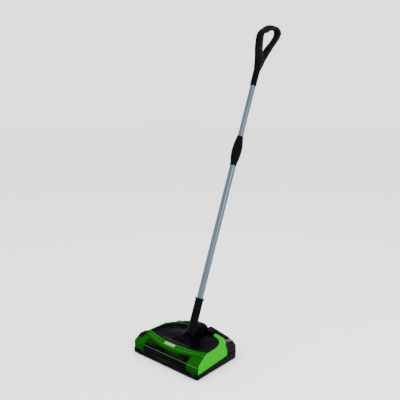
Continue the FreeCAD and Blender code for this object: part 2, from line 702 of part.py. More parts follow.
def moved_out(points, grow):
    """The same closed outline with every point moved outwards, square to its neighbours."""
    area = sum(a[0] * b[1] - b[0] * a[1] for a, b in zip(points, points[1:] + points[:1]))
    turn = math.copysign(1, area)
    out = []
    for i, (u, v) in enumerate(points):
        du = points[(i + 1) % len(points)][0] - points[i - 1][0]
        dv = points[(i + 1) % len(points)][1] - points[i - 1][1]
        size = math.hypot(du, dv) * turn
        out.append((u + grow * dv / size, v - grow * du / size))
    return out


def loop_solid(points, half, grow=0):
    curve = Part.BSplineCurve()
    corners = [Vector(-half, u, v) for u, v in moved_out(points, grow)]
    curve.interpolate(Points=corners, PeriodicFlag=True)
    return Part.Face(Part.Wire(curve.toShape())).extrude(Vector(2 * half, 0, 0))


def rounded_loop():
    body = loop_solid(OUTER_LOOP, GRIP_HALF)
    return body.makeFillet(GRIP_ROUND, [e for e in body.Edges if e.Closed])


def grip_screw(u, v):
    head = rod_x(GRIP_HALF - SCREW_HEAD_T, GRIP_HALF, u, v, SCREW_HEAD_R)
    return head.fuse(rod_x(-GRIP_HALF + GRIP_WALL, GRIP_HALF - SCREW_HEAD_T, u, v, SCREW_R))


def grip_half(side):
    loop = rounded_loop()
    loop = loop.cut(loop_solid(INNER_LOOP, GRIP_HALF + 1))
    stem = turned([(0, GRIP_BOTTOM), (UPPER_R + 2, GRIP_BOTTOM), (GRIP_STEM_R, GRIP_BOTTOM + 20),
                   (GRIP_STEM_R, GRIP_STEM_TOP), (11, 1160), (0, 1160)])
    body = loop.fuse(stem.cut(loop_solid(INNER_LOOP, GRIP_HALF * 2)))
    hollow = loop_solid(OUTER_LOOP, GRIP_HALF - GRIP_WALL, -GRIP_WALL)
    hollow = hollow.cut(loop_solid(INNER_LOOP, GRIP_HALF, GRIP_WALL))
    body = body.cut(hollow).cut(rod_z(0, 0, GRIP_BOTTOM, GRIP_STEM_TOP, UPPER_R - 1.5))
    body = body.cut(rod_z(0, 0, GRIP_BOTTOM, GRIP_BOTTOM + GRIP_SOCKET, UPPER_R))
    for u, v in GRIP_SCREWS:
        body = body.fuse(rod_x(-GRIP_HALF, GRIP_HALF, u, v, GRIP_BOSS_R)).cut(grip_screw(u, v))
    x0, x1 = sorted((0, side * 40))
    return along(solid(body.common(block(x0, x1, -200, 200, 900, 1400))))


# ---- assembly ----
def tyre(side):
    x = side * WHEEL_X
    ring = rod_x(x - WHEEL_W / 2, x + WHEEL_W / 2, WHEEL_Y, WHEEL_R, WHEEL_R)
    return ring.cut(rod_x(x - WHEEL_W, x + WHEEL_W, WHEEL_Y, WHEEL_R, HUB_R))


def hub(side):
    x = side * WHEEL_X
    disc = rod_x(x - WHEEL_W / 2, x + WHEEL_W / 2, WHEEL_Y, WHEEL_R, HUB_R)
    return disc.cut(rod_x(x - WHEEL_W, x + WHEEL_W, WHEEL_Y, WHEEL_R, AXLE_R + RUN_FIT))


def roller(side):
    x = side * ROLLER_X
    disc = rod_x(x - ROLLER_W / 2, x + ROLLER_W / 2, ROLLER_Y, ROLLER_R, ROLLER_R)
    return disc.cut(rod_x(x - ROLLER_W, x + ROLLER_W, ROLLER_Y, ROLLER_R, ROLLER_AXLE_R + RUN_FIT))


def pin(side, x, y, z, w, r):
    reach = w / 2 + SIDE_PLAY + POST_T
    return rod_x(side * x - reach, side * x + reach, y, z, r)


def pivot_bracket(side):
    face = KNUCKLE_HALF + KNUCKLE_GAP
    x0, x1 = sorted((side * face, side * (face + EAR_T)))
    ear = block(x0, x1, PIVOT_Y - EAR_HALF, PIVOT_Y + EAR_HALF, INNER_Z, PIVOT_Z)
    ear = ear.fuse(rod_x(x0, x1, PIVOT_Y, PIVOT_Z, PIVOT_PIN_R + EAR_EDGE))
    return solid(ear.cut(rod_x(x0, x1, PIVOT_Y, PIVOT_Z, PIVOT_PIN_R)))


def pivot_pin():
    reach = KNUCKLE_HALF + KNUCKLE_GAP + EAR_T
    return rod_x(-reach, reach, PIVOT_Y, PIVOT_Z, PIVOT_PIN_R)


def base_screw(x, y):
    head = rod_z(x, y, FLOOR_Z, FLOOR_Z + SCREW_HEAD_T, SCREW_HEAD_R)
    return head.fuse(rod_z(x, y, FLOOR_Z + SCREW_HEAD_T, BOSS_TOP_Z, SCREW_R))


def assemble():
    parts = {
        "base_chassis": base_chassis(), "brush_hood": brush_hood(), "rear_housing": rear_housing(),
        "deck_cover": deck_cover(), "pivot_pin": pivot_pin(), "motor_can": motor_can(),
        "motor_cradle": motor_cradle(), "motor_strap": motor_strap(), "battery_tray": battery_tray(),
        "battery_cells": battery_cells(), "circuit_board": circuit_board(), "board_parts": board_parts(),
        "power_switch": switch_block(1), "charge_jack": charge_jack(), "release_lever": switch_block(-1),
        "release_latch": release_latch(),
        "drive_belt": solid(belt_solid(BELT_GAP + BELT_T).cut(belt_solid(BELT_GAP))),
        "brush_shaft": brush_shaft(), "brush_core": brush_core(),
        "brush_pulley": pulley(BELT_X, BRUSH_Y, BRUSH_Z, BRUSH_PULLEY_R, BRUSH_SHAFT_R),
        "motor_shaft": rod_x(MOTOR_X0 + MOTOR_BACK, BELT_X + BELT_W, MOTOR_Y, MOTOR_Z, MOTOR_SHAFT_R),
        "motor_pulley": pulley(BELT_X, MOTOR_Y, MOTOR_Z, MOTOR_PULLEY_R, MOTOR_SHAFT_R),
        "bin_bezel": bin_bezel(), "bin_window": bin_window(), "bin_trough": bin_trough(),
        "badge_plate": badge_plate(), "neck": neck(), "tube_screw": tube_screw(),
        "neck_ring": along(tube(TUBE_R, RING_R, NECK_TOP, NECK_TOP + FLANGE_H)),
        "lower_tube": lower_tube(),
        "collar_base": collar_base(), "twist_collar": twist_collar(), "clamp_bush": clamp_bush(),
        "upper_tube": upper_tube(), "tube_plug": tube_plug(),
    }
    cut_core = rod_x(-BRUSH_LEN, BRUSH_LEN, BRUSH_Y, BRUSH_Z, BRUSH_CORE_R - BRISTLE_ROOT)
    parts["brush_bristles"] = Part.makeCompound([row.cut(cut_core) for row in bristle_rows()])
    wheel_pin = pin(1, WHEEL_X, WHEEL_Y, WHEEL_R, WHEEL_W, AXLE_R)
    roller_pin = pin(1, ROLLER_X, ROLLER_Y, ROLLER_R, ROLLER_W, ROLLER_AXLE_R)
    parts["wheel_axles"] = Part.makeCompound([wheel_pin, mirrored(wheel_pin)])
    parts["roller_axles"] = Part.makeCompound([roller_pin, mirrored(roller_pin)])
    parts["base_screws"] = Part.makeCompound([base_screw(x, y) for x, y in BASE_SCREWS])
    parts["grip_screws"] = along(Part.makeCompound([grip_screw(u, v) for u, v in GRIP_SCREWS]))
    for side, word in ((-1, "left"), (1, "right")):
        parts["bin_side_" + word] = bin_side(side)
        parts["brush_bearing_" + word] = bearing_bush(side)
        parts["wheel_tyre_" + word] = tyre(side)
        parts["wheel_hub_" + word] = hub(side)
        parts["front_roller_" + word] = roller(side)
        parts["pivot_bracket_" + word] = pivot_bracket(side)
        parts["button_bezel_" + word] = button_bezel(side)
        parts["grip_half_" + word] = grip_half(side)
    parts["power_button"], parts["release_button"] = button(1), button(-1)
    parts["power_spring"], parts["release_spring"] = button_spring(1), button_spring(-1)
    return parts


def origin_shift(parts):
    box = Part.makeCompound(list(parts.values())).optimalBoundingBox(False)
    return Vector(-(box.XMin + box.XMax) / 2, -(box.YMin + box.YMax) / 2, -box.ZMin)


PARTS = assemble()
SHIFT = origin_shift(PARTS)
os.makedirs("parts", exist_ok=True)
for name, shape in PARTS.items():
    shape.translate(SHIFT)
    shape.exportStep("parts/" + name + ".step")
print(len(PARTS), "pieces, moved by", SHIFT)
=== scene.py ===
import json
import math

import bmesh
import bpy
from mathutils import Matrix, Vector


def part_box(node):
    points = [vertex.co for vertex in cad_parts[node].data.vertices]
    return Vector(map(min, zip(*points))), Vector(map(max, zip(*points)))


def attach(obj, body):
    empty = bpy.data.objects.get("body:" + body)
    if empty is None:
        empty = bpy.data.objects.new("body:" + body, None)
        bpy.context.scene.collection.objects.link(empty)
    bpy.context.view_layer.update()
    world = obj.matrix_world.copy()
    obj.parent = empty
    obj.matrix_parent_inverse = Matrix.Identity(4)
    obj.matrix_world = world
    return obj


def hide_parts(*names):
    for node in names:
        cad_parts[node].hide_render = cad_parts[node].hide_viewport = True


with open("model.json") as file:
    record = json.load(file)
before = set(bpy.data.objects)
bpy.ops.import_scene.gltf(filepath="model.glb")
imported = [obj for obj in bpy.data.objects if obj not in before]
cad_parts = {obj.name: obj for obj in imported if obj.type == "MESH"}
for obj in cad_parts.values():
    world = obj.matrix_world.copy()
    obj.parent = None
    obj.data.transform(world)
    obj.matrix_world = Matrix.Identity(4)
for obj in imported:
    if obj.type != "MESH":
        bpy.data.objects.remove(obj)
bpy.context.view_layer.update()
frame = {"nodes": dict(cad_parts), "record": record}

# ---------------------------------------------------------------------------
# The place it stands: a plain pale studio floor with no edge in sight.
# One wide sheet; the sweeper only rests on it.
floor_bm = bmesh.new()
bmesh.ops.create_grid(floor_bm, x_segments=8, y_segments=8, size=14.0)
floor_mesh = bpy.data.meshes.new("studio_floor")
floor_bm.to_mesh(floor_mesh)
floor_bm.free()
floor = bpy.data.objects.new("studio_floor", floor_mesh)
bpy.context.scene.collection.objects.link(floor)
floor_paint = bpy.data.materials.new("floor_paint")
floor_paint.use_nodes = True
floor_bsdf = floor_paint.node_tree.nodes["Principled BSDF"]
floor_bsdf.inputs["Base Color"].default_value = (0.93, 0.93, 0.93, 1)
floor_bsdf.inputs["Roughness"].default_value = 0.9
floor.data.materials.append(floor_paint)

# ---------------------------------------------------------------------------
# Where the head sits. The base casting gives the middle of the head in plan; every
# head piece below is drawn in millimetres about that middle, floor at zero.
base_low, base_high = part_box("base_chassis")
HEAD_MIDDLE = Vector((0, (base_low[1] + base_high[1]) / 2, 0))
MM = 0.001


def to_head(bm):
    bmesh.ops.transform(bm, matrix=Matrix.Translation(HEAD_MIDDLE) @ Matrix.Scale(MM, 4), verts=bm.verts)


# ---------------------------------------------------------------------------
# The view: from the front right corner, a little above the grip of a tall handle.
# A short tele lens, level, with nothing else in the frame.
eye = Vector((1.2176, -1.3127, 0.9404)) + HEAD_MIDDLE
aim = Vector((0.07056, 0.0, 0.60239)) + HEAD_MIDDLE
camera_data = bpy.data.cameras.new("view")
camera_data.lens = 46.06
camera_data.sensor_width = 36.0
camera = bpy.data.objects.new("view", camera_data)
camera.location = eye
camera.rotation_euler = (aim - eye).to_track_quat("-Z", "Y").to_euler()
bpy.context.scene.collection.objects.link(camera)
bpy.context.scene.camera = camera

# ---------------------------------------------------------------------------
# Studio light: a white room, one broad key from the right of the head, and a
# long overhead panel that draws the soft streaks on the polished deck.
world = bpy.data.worlds.new("studio")
bpy.context.scene.world = world
world.use_nodes = True
world.node_tree.nodes["Background"].inputs["Color"].default_value = (1, 1, 1, 1)
world.node_tree.nodes["Background"].inputs["Strength"].default_value = 2.2
for name, place, size, power in (("key_right", (2.6, -0.6, 1.5), (1.2, 1.6), 60.0),
                                 ("panel_over", (-0.6, 0.6, 3.0), (2.6, 1.2), 30.0),
                                 ("fill_front", (-1.4, -3.0, 1.2), (1.6, 1.6), 10.0)):
    lamp = bpy.data.lights.new(name, "AREA")
    lamp.shape = "RECTANGLE"
    lamp.size, lamp.size_y = size
    lamp.energy = power
    holder = bpy.data.objects.new(name, lamp)
    holder.location = Vector(place) + HEAD_MIDDLE
    holder.rotation_euler = (HEAD_MIDDLE - holder.location).to_track_quat("-Z", "Y").to_euler()
    bpy.context.scene.collection.objects.link(holder)

# ---------------------------------------------------------------------------
# Moulded skin, shared by every plastic here: a fine spark-eroded grain, slow
# drifts in tone from the flow of the melt, and handling marks in the gloss.
skin = bpy.data.node_groups.new("moulded_skin", "ShaderNodeTree")
for label, kind, value in (("Color", "NodeSocketColor", (0.1, 0.1, 0.1, 1)),
        ("Tone", "NodeSocketColor", (0.2, 0.2, 0.2, 1)),
                           ("Roughness", "NodeSocketFloat", 0.4), ("Grain", "NodeSocketFloat", 900.0)):
    skin.interface.new_socket(label, in_out="INPUT", socket_type=kind).default_value = value
for label, kind in (("Color", "NodeSocketColor"), ("Roughness", "NodeSocketFloat"),
        ("Height", "NodeSocketFloat")):
    skin.interface.new_socket(label, in_out="OUTPUT", socket_type=kind)
skin_in = skin.nodes.new("NodeGroupInput")
skin_out = skin.nodes.new("NodeGroupOutput")
skin_place = skin.nodes.new("ShaderNodeTexCoord")
drift = skin.nodes.new("ShaderNodeTexNoise")
drift.inputs["Scale"].default_value = 14.0
drift.inputs["Detail"].default_value = 4.0
grain = skin.nodes.new("ShaderNodeTexNoise")
grain.inputs["Detail"].default_value = 3.0
marks = skin.nodes.new("ShaderNodeTexNoise")
marks.inputs["Scale"].default_value = 60.0
marks.inputs["Detail"].default_value = 6.0
tone_mix = skin.nodes.new("ShaderNodeMix")
tone_mix.data_type = "RGBA"
drift_range = skin.nodes.new("ShaderNodeMapRange")
drift_range.inputs["From Min"].default_value = 0.35
drift_range.inputs["From Max"].default_value = 0.75
marks_range = skin.nodes.new("ShaderNodeMapRange")
marks_range.inputs["To Min"].default_value = -0.07
marks_range.inputs["To Max"].default_value = 0.09
rough_add = skin.nodes.new("ShaderNodeMath")
for noise in (drift, grain, marks):
    skin.links.new(skin_place.outputs["Object"], noise.inputs["Vector"])
skin.links.new(skin_in.outputs["Grain"], grain.inputs["Scale"])
skin.links.new(drift.outputs["Fac"], drift_range.inputs["Value"])
skin.links.new(drift_range.outputs["Result"], tone_mix.inputs["Factor"])
skin.links.new(skin_in.outputs["Color"], tone_mix.inputs["A"])
skin.links.new(skin_in.outputs["Tone"], tone_mix.inputs["B"])
skin.links.new(tone_mix.outputs["Result"], skin_out.inputs["Color"])
skin.links.new(marks.outputs["Fac"], marks_range.inputs["Value"])
skin.links.new(marks_range.outputs["Result"], rough_add.inputs[0])
skin.links.new(skin_in.outputs["Roughness"], rough_add.inputs[1])
skin.links.new(rough_add.outputs["Value"], skin_out.inputs["Roughness"])
skin.links.new(grain.outputs["Fac"], skin_out.inputs["Height"])


def moulded(name, color, tone, roughness, grain_scale=900.0, depth=0.15, coat=0.0, shine=0.5):
    """A plastic finish: the shared skin with its own colours, gloss and grain."""
    made = bpy.data.materials.new(name)
    made.use_nodes = True
    nodes, links = made.node_tree.nodes, made.node_tree.links
    bsdf = nodes["Principled BSDF"]
    bsdf.inputs["Coat Weight"].default_value = coat
    bsdf.inputs["Specular IOR Level"].default_value = shine
    bsdf.inputs["Coat Roughness"].default_value = 0.04
    surface = nodes.new("ShaderNodeGroup")
    surface.node_tree = skin
    surface.inputs["Color"].default_value = (*color, 1)
    surface.inputs["Tone"].default_value = (*tone, 1)
    surface.inputs["Roughness"].default_value = roughness
    surface.inputs["Grain"].default_value = grain_scale
    bump = nodes.new("ShaderNodeBump")
    bump.inputs["Strength"].default_value = depth
    bump.inputs["Distance"].default_value = 0.0002
    links.new(surface.outputs["Color"], bsdf.inputs["Base Color"])
    links.new(surface.outputs["Roughness"], bsdf.inputs["Roughness"])
    links.new(surface.outputs["Height"], bump.inputs["Height"])
    links.new(bump.outputs["Normal"], bsdf.inputs["Normal"])
    return made


# ---------------------------------------------------------------------------
# Base chassis: the black tray that everything is screwed to, injection moulded,
# with a driven-brush opening, wheel wells and screw bosses. Its edges are eased.
SHARP = math.radians(34)


def finish_mesh(bm, name, material, body, slot, *nodes):
    """Turns a finished bmesh into a shown piece: soft shading with crisp corners."""
    for face in bm.faces:
        face.smooth = True
    for edge in bm.edges:
        edge.smooth = len(edge.link_faces) == 2 and edge.calc_face_angle(0) < SHARP
    mesh = bpy.data.meshes.new(name)
    bm.to_mesh(mesh)
    bm.free()
    made = bpy.data.objects.new(name, mesh)
    mesh.materials.append(material)
    bpy.context.scene.collection.objects.link(made)
    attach(made, body)
    if nodes:
        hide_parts(*nodes)
    return made


def eased(node, material, body, slot, ease=0.5, name=None):
    """The node's own form with its hard edges broken by a small moulding radius."""
    bm = bmesh.new()
    bm.from_mesh(frame["nodes"][node].data)
    bmesh.ops.remove_doubles(bm, verts=bm.verts, dist=2e-6)
    bmesh.ops.dissolve_limit(bm, angle_limit=math.radians(1.0), verts=bm.verts, edges=bm.edges)
    hard = [e for e in bm.edges if len(e.link_faces) == 2 and e.calc_face_angle(0) > math.radians(40)]
    bmesh.ops.bevel(bm, geom=hard, offset=ease * MM, offset_type="OFFSET", segments=2, profile=0.5,
                    affect="EDGES", material=-1, clamp_overlap=True)
    return finish_mesh(bm, name or node + "_shell", material, body, slot, node)


black_satin = moulded("black_satin", (0.0010, 0.0010, 0.0020), (0.0020, 0.0020, 0.0036), 0.38, 1100.0,
        0.12, 0.0, 0.022)
eased("base_chassis", black_satin, "base", "black_satin", 0.8, "base_tray")

# ---------------------------------------------------------------------------
# The form of the covers, in millimetres about the head's middle. The nose is a
# quarter ellipse; each side rolls over; where the two meet is the crease that
# runs from the front corner up to the corner of the deck.
TOP = 70.0
HALF = 160.0
FRONT = 117.3
REAR = 117.3
NOSE_LEN, NOSE_DROP = 80.0, 32.0
ROLL_W, ROLL_DROP = 18.0, 20.0
DECK_HALF, DECK_FRONT, DECK_BOW, DECK_REAR = 143.0, 43.0, 26.5, 84.0
RING_HALF, RING_REAR, RING_POWER = 158.5, 103.0, 3.5


def nose(y):
    reach = min(max((NOSE_LEN - FRONT - y) / NOSE_LEN, 0.0), 1.0)
    return TOP - NOSE_DROP * (1 - math.sqrt(1 - reach * reach))


def roll(x):
    reach = min(max((abs(x) - HALF + ROLL_W) / ROLL_W, 0.0), 1.0)
    return TOP - ROLL_DROP * (1 - math.sqrt(1 - reach * reach))


def crease_x(y):
    """How far out the crease lies at a given distance from the front."""
    fall = TOP - nose(y)
    if fall >= ROLL_DROP:
        return HALF
    return HALF - ROLL_W + ROLL_W * math.sqrt(1 - (1 - fall / ROLL_DROP) ** 2)


def back_curve(half, reach, power, s):
    """Squared-off half ellipse; s runs 0 at the right side to 1 at the left."""
    a = math.pi * s
    c, sn = math.cos(a), math.sin(a)
    x = half * math.copysign(abs(c) ** (2 / power), c)
    return x, -DECK_FRONT + (reach + DECK_FRONT) * abs(sn) ** (2 / power)


def deck_front(u):
    return DECK_HALF * u, -DECK_FRONT - DECK_BOW * (1 - u * u)


def lay_rows(bm, rows, closed=False):
    """Lofts a skin through rows of points, each row the same length."""
    loops = []
    for row in rows:
        loops.append([bm.verts.new(p) for p in row])
    for low, high in zip(loops, loops[1:]):
        span = range(len(low)) if closed else range(len(low) - 1)
        for i in span:
            j = (i + 1) % len(low)
            bm.faces.new((low[i], low[j], high[j], high[i]))
    return loops


def face_out(bm):
    """Turns each patch of skin so that most of it points away from the head's middle."""
    bmesh.ops.recalc_face_normals(bm, faces=bm.faces)
    left = set(bm.faces)
    while left:
        patch = [left.pop()]
        for face in patch:
            for edge in face.edges:
                for other in edge.link_faces:
                    if other in left:
                        left.remove(other)
                        patch.append(other)
        away = sum(f.normal.dot(f.calc_center_median() - Vector((0, 0,
                25.0))) * f.calc_area() for f in patch)
        if away < 0:
            bmesh.ops.reverse_faces(bm, faces=patch)


def walled(bm, wall):
    """Gives an open skin its moulded wall: a second skin inside it, joined all round the rim."""
    bmesh.ops.remove_doubles(bm, verts=bm.verts, dist=0.02)
    face_out(bm)
    bm.normal_update()
    skin_faces = bm.faces[:]
    rims = [(e.link_loops[0].vert,
            e.link_loops[0].link_loop_next.vert) for e in bm.edges if len(e.link_faces) == 1]
    inner = {v: bm.verts.new(v.co - v.normal * wall) for v in bm.verts[:]}
    for face in skin_faces:
        bm.faces.new([inner[v] for v in reversed(face.verts)])
    for a, b in rims:
        bm.faces.new((b, a, inner[a], inner[b]))


# ---------------------------------------------------------------------------
# Lime cover material: polished green plastic, drawn opaque with its tones painted on. The deeper greens
# stand partly for the dark bin seen through the plastic and partly for painted shade on faces turned from
# the key light; the pale lines are painted highlights.
def ramp(nodes, links, source, low, high):
    """A soft step from nought to one as the source runs from low to high."""
    step = nodes.new("ShaderNodeMapRange")
    step.interpolation_type = "SMOOTHSTEP"
    step.inputs["From Min"].default_value = low
    step.inputs["From Max"].default_value = high
    links.new(source, step.inputs["Value"])
    return step.outputs["Result"]


def blended(nodes, links, factor, a, colour):
    mix = nodes.new("ShaderNodeMix")
    mix.data_type = "RGBA"
    mix.inputs["B"].default_value = (*colour, 1)
    links.new(a, mix.inputs["A"])
    links.new(factor, mix.inputs["Factor"])
    return mix.outputs["Result"]


def lime_plastic(name, bright, deep_bin_and_shade, darkest_painted_shade, roughness):
    """The painted shade stored on each point sets the colour: 0 the plain lime, 1 the deep green of the
    dark bin seen through the plastic together with painted shade, 2 the darkest painted shade.
    """
    made = moulded(name, bright, bright, roughness, 300.0, 0.02, 0.0, 0.012)
    nodes, links = made.node_tree.nodes, made.node_tree.links
    painted_shade_value = nodes.new("ShaderNodeAttribute")
    painted_shade_value.attribute_name = "shade"
    group = next(n for n in nodes if n.type == "GROUP")
    # painted shade: the stored value darkens the lime to the deep green, then to the darkest green
    colour = blended(nodes, links, ramp(nodes, links, painted_shade_value.outputs["Fac"], 0.0, 1.0),
            group.outputs["Color"], deep_bin_and_shade)
    colour = blended(nodes, links, ramp(nodes, links, painted_shade_value.outputs["Fac"], 1.0, 2.0), colour, darkest_painted_shade)
    links.new(colour, nodes["Principled BSDF"].inputs["Base Color"])
    return made


def shaded_rows(bm, rows, tone):
    """Lays rows of skin and stores on every point its painted shade, how dark the plastic reads there."""
    layer = bm.verts.layers.float.get("shade") or bm.verts.layers.float.new("shade")
    for k, loop in enumerate(lay_rows(bm, rows)):
        for vert in loop:
            vert[layer] = tone(k / (len(rows) - 1), vert.co)


# plain lime, then the deep green (dark bin seen through, with painted shade), then the darkest painted
# shade
lime = lime_plastic("lime", (0.0, 0.25, 0.0), (0.0006, 0.050, 0.0), (0.0004, 0.009, 0.0002), 0.3)

# ---------------------------------------------------------------------------
# Bin ring: the lime band round the deck and the wide strip across its front, one
# clear moulding with a soft crest. It lifts off with the bin.
SEAM_END = 155.0


def seam_y(x):
    """Plan line where the strip ends: an arc over the window, then straight out to the crease."""
    x = abs(x)
    arc = -100.5 + 15.5 * (min(x, 118.0) / 107.0) ** 2
    return arc - 3.0 * max(x - 118.0, 0.0) / 37.0


def strip_point(u, t):
    """A point on the front strip: u from left to right, t from the deck to the seam."""
    x0, y0 = deck_front(u)
    x1 = SEAM_END * u
    y = y0 + (seam_y(x1) - y0) * t
    x = x0 + (x1 - x0) * t
    edge = DECK_HALF + (SEAM_END - DECK_HALF) * t
    return x + math.copysign((crease_x(y) - edge) * abs(u) ** 12, u), y


COLUMNS = [math.sin(i / 48 * math.pi / 2) if abs(i) == 48 else i / 48 for i in range(-48, 49)]
ring_bm = bmesh.new()
rows = []
rows.append([(deck_front(u)[0], deck_front(u)[1] + 0.2, TOP - 6.0) for u in COLUMNS])
rows.append([(deck_front(u)[0], deck_front(u)[1], TOP - 1.8) for u in COLUMNS])
for k in range(0, 15):
    row = []
    for u in COLUMNS:
        x, y = strip_point(u, 0.012 + 0.988 * k / 14)
        soft = 0.8 * math.exp(-k * 1.6)
        row.append((x, y, min(nose(y), roll(x)) - soft))
    rows.append(row)
# painted light along the strip, from deck to window: a painted highlight at the rim, then deeper greens
STRIP_LIGHT_AND_SHADE = ((0.0, 0.3), (0.12, 0.4), (0.2, 0.9), (0.5, 0.95), (0.57, 0.6), (0.64, 0.65), (0.72, 1.2),
        (1.0, 1.35))


def band(t, co):
    """Strip tone from deck to window: a pale rim painted as a highlight, clear green, a lighter line,
    then deeper green towards the window.
    """
    for (t0, v0), (t1, v1) in zip(STRIP_LIGHT_AND_SHADE, STRIP_LIGHT_AND_SHADE[1:]):
        if t <= t1:
            return v0 + (v1 - v0) * (t - t0) / (t1 - t0)
    return STRIP_LIGHT_AND_SHADE[-1][1]


shaded_rows(ring_bm, rows, band)

# right and left flanks of the ring, from the deck corner round the back to the open mouth
MOUTH = 52.0
FLANK = 54


def flank_rows(side):
    inner, outer = [], []
    for i in range(FLANK + 1):
        s = 0.5 * i / FLANK
        xi, yi = back_curve(DECK_HALF, DECK_REAR, 3.0, s * 0.78)
        xo, yo = back_curve(RING_HALF, RING_REAR, RING_POWER, s * 0.876)
        inner.append((max(xi, MOUTH), yi))
        outer.append((max(xo, MOUTH), yo))
    out = [[(side * x, y, TOP - drop) for x, y in inner] for drop in (6.0, 1.6)]
    for k in range(0, 11):
        t = k / 10
        row = []
        for (xi, yi), (xo, yo) in zip(inner, outer):
            x, y = xi + (xo - xi) * t, yi + (yo - yi) * t
            swell = 1.2 * math.sin(math.pi * min(t * 1.2, 1.0))
            fall = 9.0 * max(t - 0.35, 0) ** 2
            lip = 0.6 * (1 - min(t * 8, 1))
            crown = TOP + swell - fall - lip
            row.append((side * x, y, min(crown, roll(x) + 0.6)))
        out.append(row)
    out.append([(side * x, y, min(roll(x) - 4.0, TOP - 9.0)) for x, y in outer])
    out.append([(side * x, y, min(roll(x) - 8.0, 58.0)) for x, y in outer])
    return out


# painted shade: the right flank keeps the plain lime, the left flank is darkened, easing lighter at its
# outer edge as a painted highlight
shaded_rows(ring_bm, flank_rows(1), lambda t, co: 0.0)
shaded_rows(ring_bm, flank_rows(-1), lambda t, co: 1.75 - 1.1 * max(t - 0.75, 0) / 0.25)
walled(ring_bm, 2.6)
to_head(ring_bm)
finish_mesh(ring_bm, "bin_ring", lime, "bin", "lime", "bin_bezel")

# ---------------------------------------------------------------------------
# End panels: the outer sides of the bin and the corners beside the window, each one moulding that follows
# the sloping seam above the base. The right side keeps the bright plain lime, the left side carries
# painted shade, and the corners are deep green, darker towards the bottom.
SEAM_FRONT, SEAM_REAR, PANEL_REAR = 19.7, 30.8, 47.5
CORNER_R = 6.0


def seam_z(y):
    return SEAM_FRONT + (SEAM_REAR - SEAM_FRONT) * (y + FRONT) / (48.0 + FRONT)


WINDOW_EDGE = 108.0


def ring_outer_x(y):
    """Half width of the ring's outer edge at a distance along the head."""
    reach = min(max((y + DECK_FRONT) / (RING_REAR + DECK_FRONT), 0.0), 1.0)
    return RING_HALF * (1 - reach ** RING_POWER) ** (1 / RING_POWER)


def corner_foot(w):
    """Plan outline of the front corner: straight across, then round to the side."""
    straight = HALF - CORNER_R - WINDOW_EDGE
    run = w * (straight + CORNER_R * math.pi / 2)
    if run < straight:
        return WINDOW_EDGE + run, -FRONT
    a = (run - straight) / CORNER_R
    return HALF - CORNER_R + CORNER_R * math.sin(a), -FRONT + CORNER_R * (1 - math.cos(a))


def end_panel(side):
    bm = bmesh.new()
    corner_y = -FRONT + CORNER_R
    ys = [PANEL_REAR + (corner_y - PANEL_REAR) * i / 64 for i in range(65)]
    rows = []
    for k in range(0, 13):
        row = []
        for y in ys:
            inner = crease_x(y) if y < -DECK_FRONT else min(ring_outer_x(y) - 3.0, 150.0)
            if -DECK_FRONT <= y < -15.0:
                inner = 143.0 + (inner - 143.0) * (y + DECK_FRONT) / 28.0
            x = inner + (HALF - inner) * math.sin(k / 12 * math.pi / 2)
            row.append((side * x, y,
                    min(roll(x), nose(y)) - (0.7 if k == 0 and y > -DECK_FRONT else 0.0)))
        rows.append(row)
    for k in range(1, 9):
        rows.append([(side * HALF, y, min(50.0, nose(y)) + (seam_z(y) - min(50.0,
                nose(y))) * k / 8) for y in ys])
    # painted shade: the left panel darkened, the right one left plain
    shaded_rows(bm, rows, lambda t, co: 0.0 if side > 0 else 1.4)
    rows = []
    columns = [i / 24 for i in range(25)]
    for k in range(0, 15):
        row = []
        for w in columns:
            xt = WINDOW_EDGE + (SEAM_END - WINDOW_EDGE) * w
            yt = seam_y(xt)
            xb, yb = corner_foot(w)
            t = math.sin(k / 14 * math.pi / 2)
            x, y = xt + (xb - xt) * t, yt + (yb - yt) * t
            edge = SEAM_END + (HALF - SEAM_END) * t
            x += (crease_x(y) - edge) * w ** 12 * (1 - t ** 6)
            row.append((side * x, y, min(nose(y), roll(x))))
        rows.append(row)
    top = rows[-1]
    for k in range(1, 9):
        rows.append([(x, y, z + (seam_z(y) - z) * k / 8) for x, y, z in top])
    # corners: deep green, darker towards the bottom
    shaded_rows(bm, rows, lambda t, co: 1.1 + 0.6 * max(t - 0.35, 0) / 0.65)
    walled(bm, 2.4)
    to_head(bm)
    return bm


for side, word in ((-1, "left"), (1, "right")):
    finish_mesh(end_panel(side), "bin_end_panel_" + word, lime, "bin", "lime", "bin_side_" + word)

# ---------------------------------------------------------------------------
# End pad: a small black moulded pad over the left shoulder of the bin, taken to
# be a finger hold. It fades into the cover at both ends.
pad_bm = bmesh.new()
rows = []
for k in range(0, 13):
    y = -99.0 + 50.0 * k / 12
    swell = math.sin(math.pi * k / 12) ** 0.5
    row = []
    for i in range(0, 17):
        a = math.pi / 2 * i / 16
        x, z = 138.0 + 23.0 * math.sin(a) ** 0.6, 50.0 + 22.0 * math.cos(a) ** 0.6
        base = min(roll(x), nose(y)) - 1.2
        row.append((-x, y, base + max(z + 1.6 - base, 0.0) * swell))
    rows.append(row)
lay_rows(pad_bm, rows)
walled(pad_bm, 1.0)
to_head(pad_bm)
finish_mesh(pad_bm, "bin_end_pad", black_satin, "bin", "black_satin")

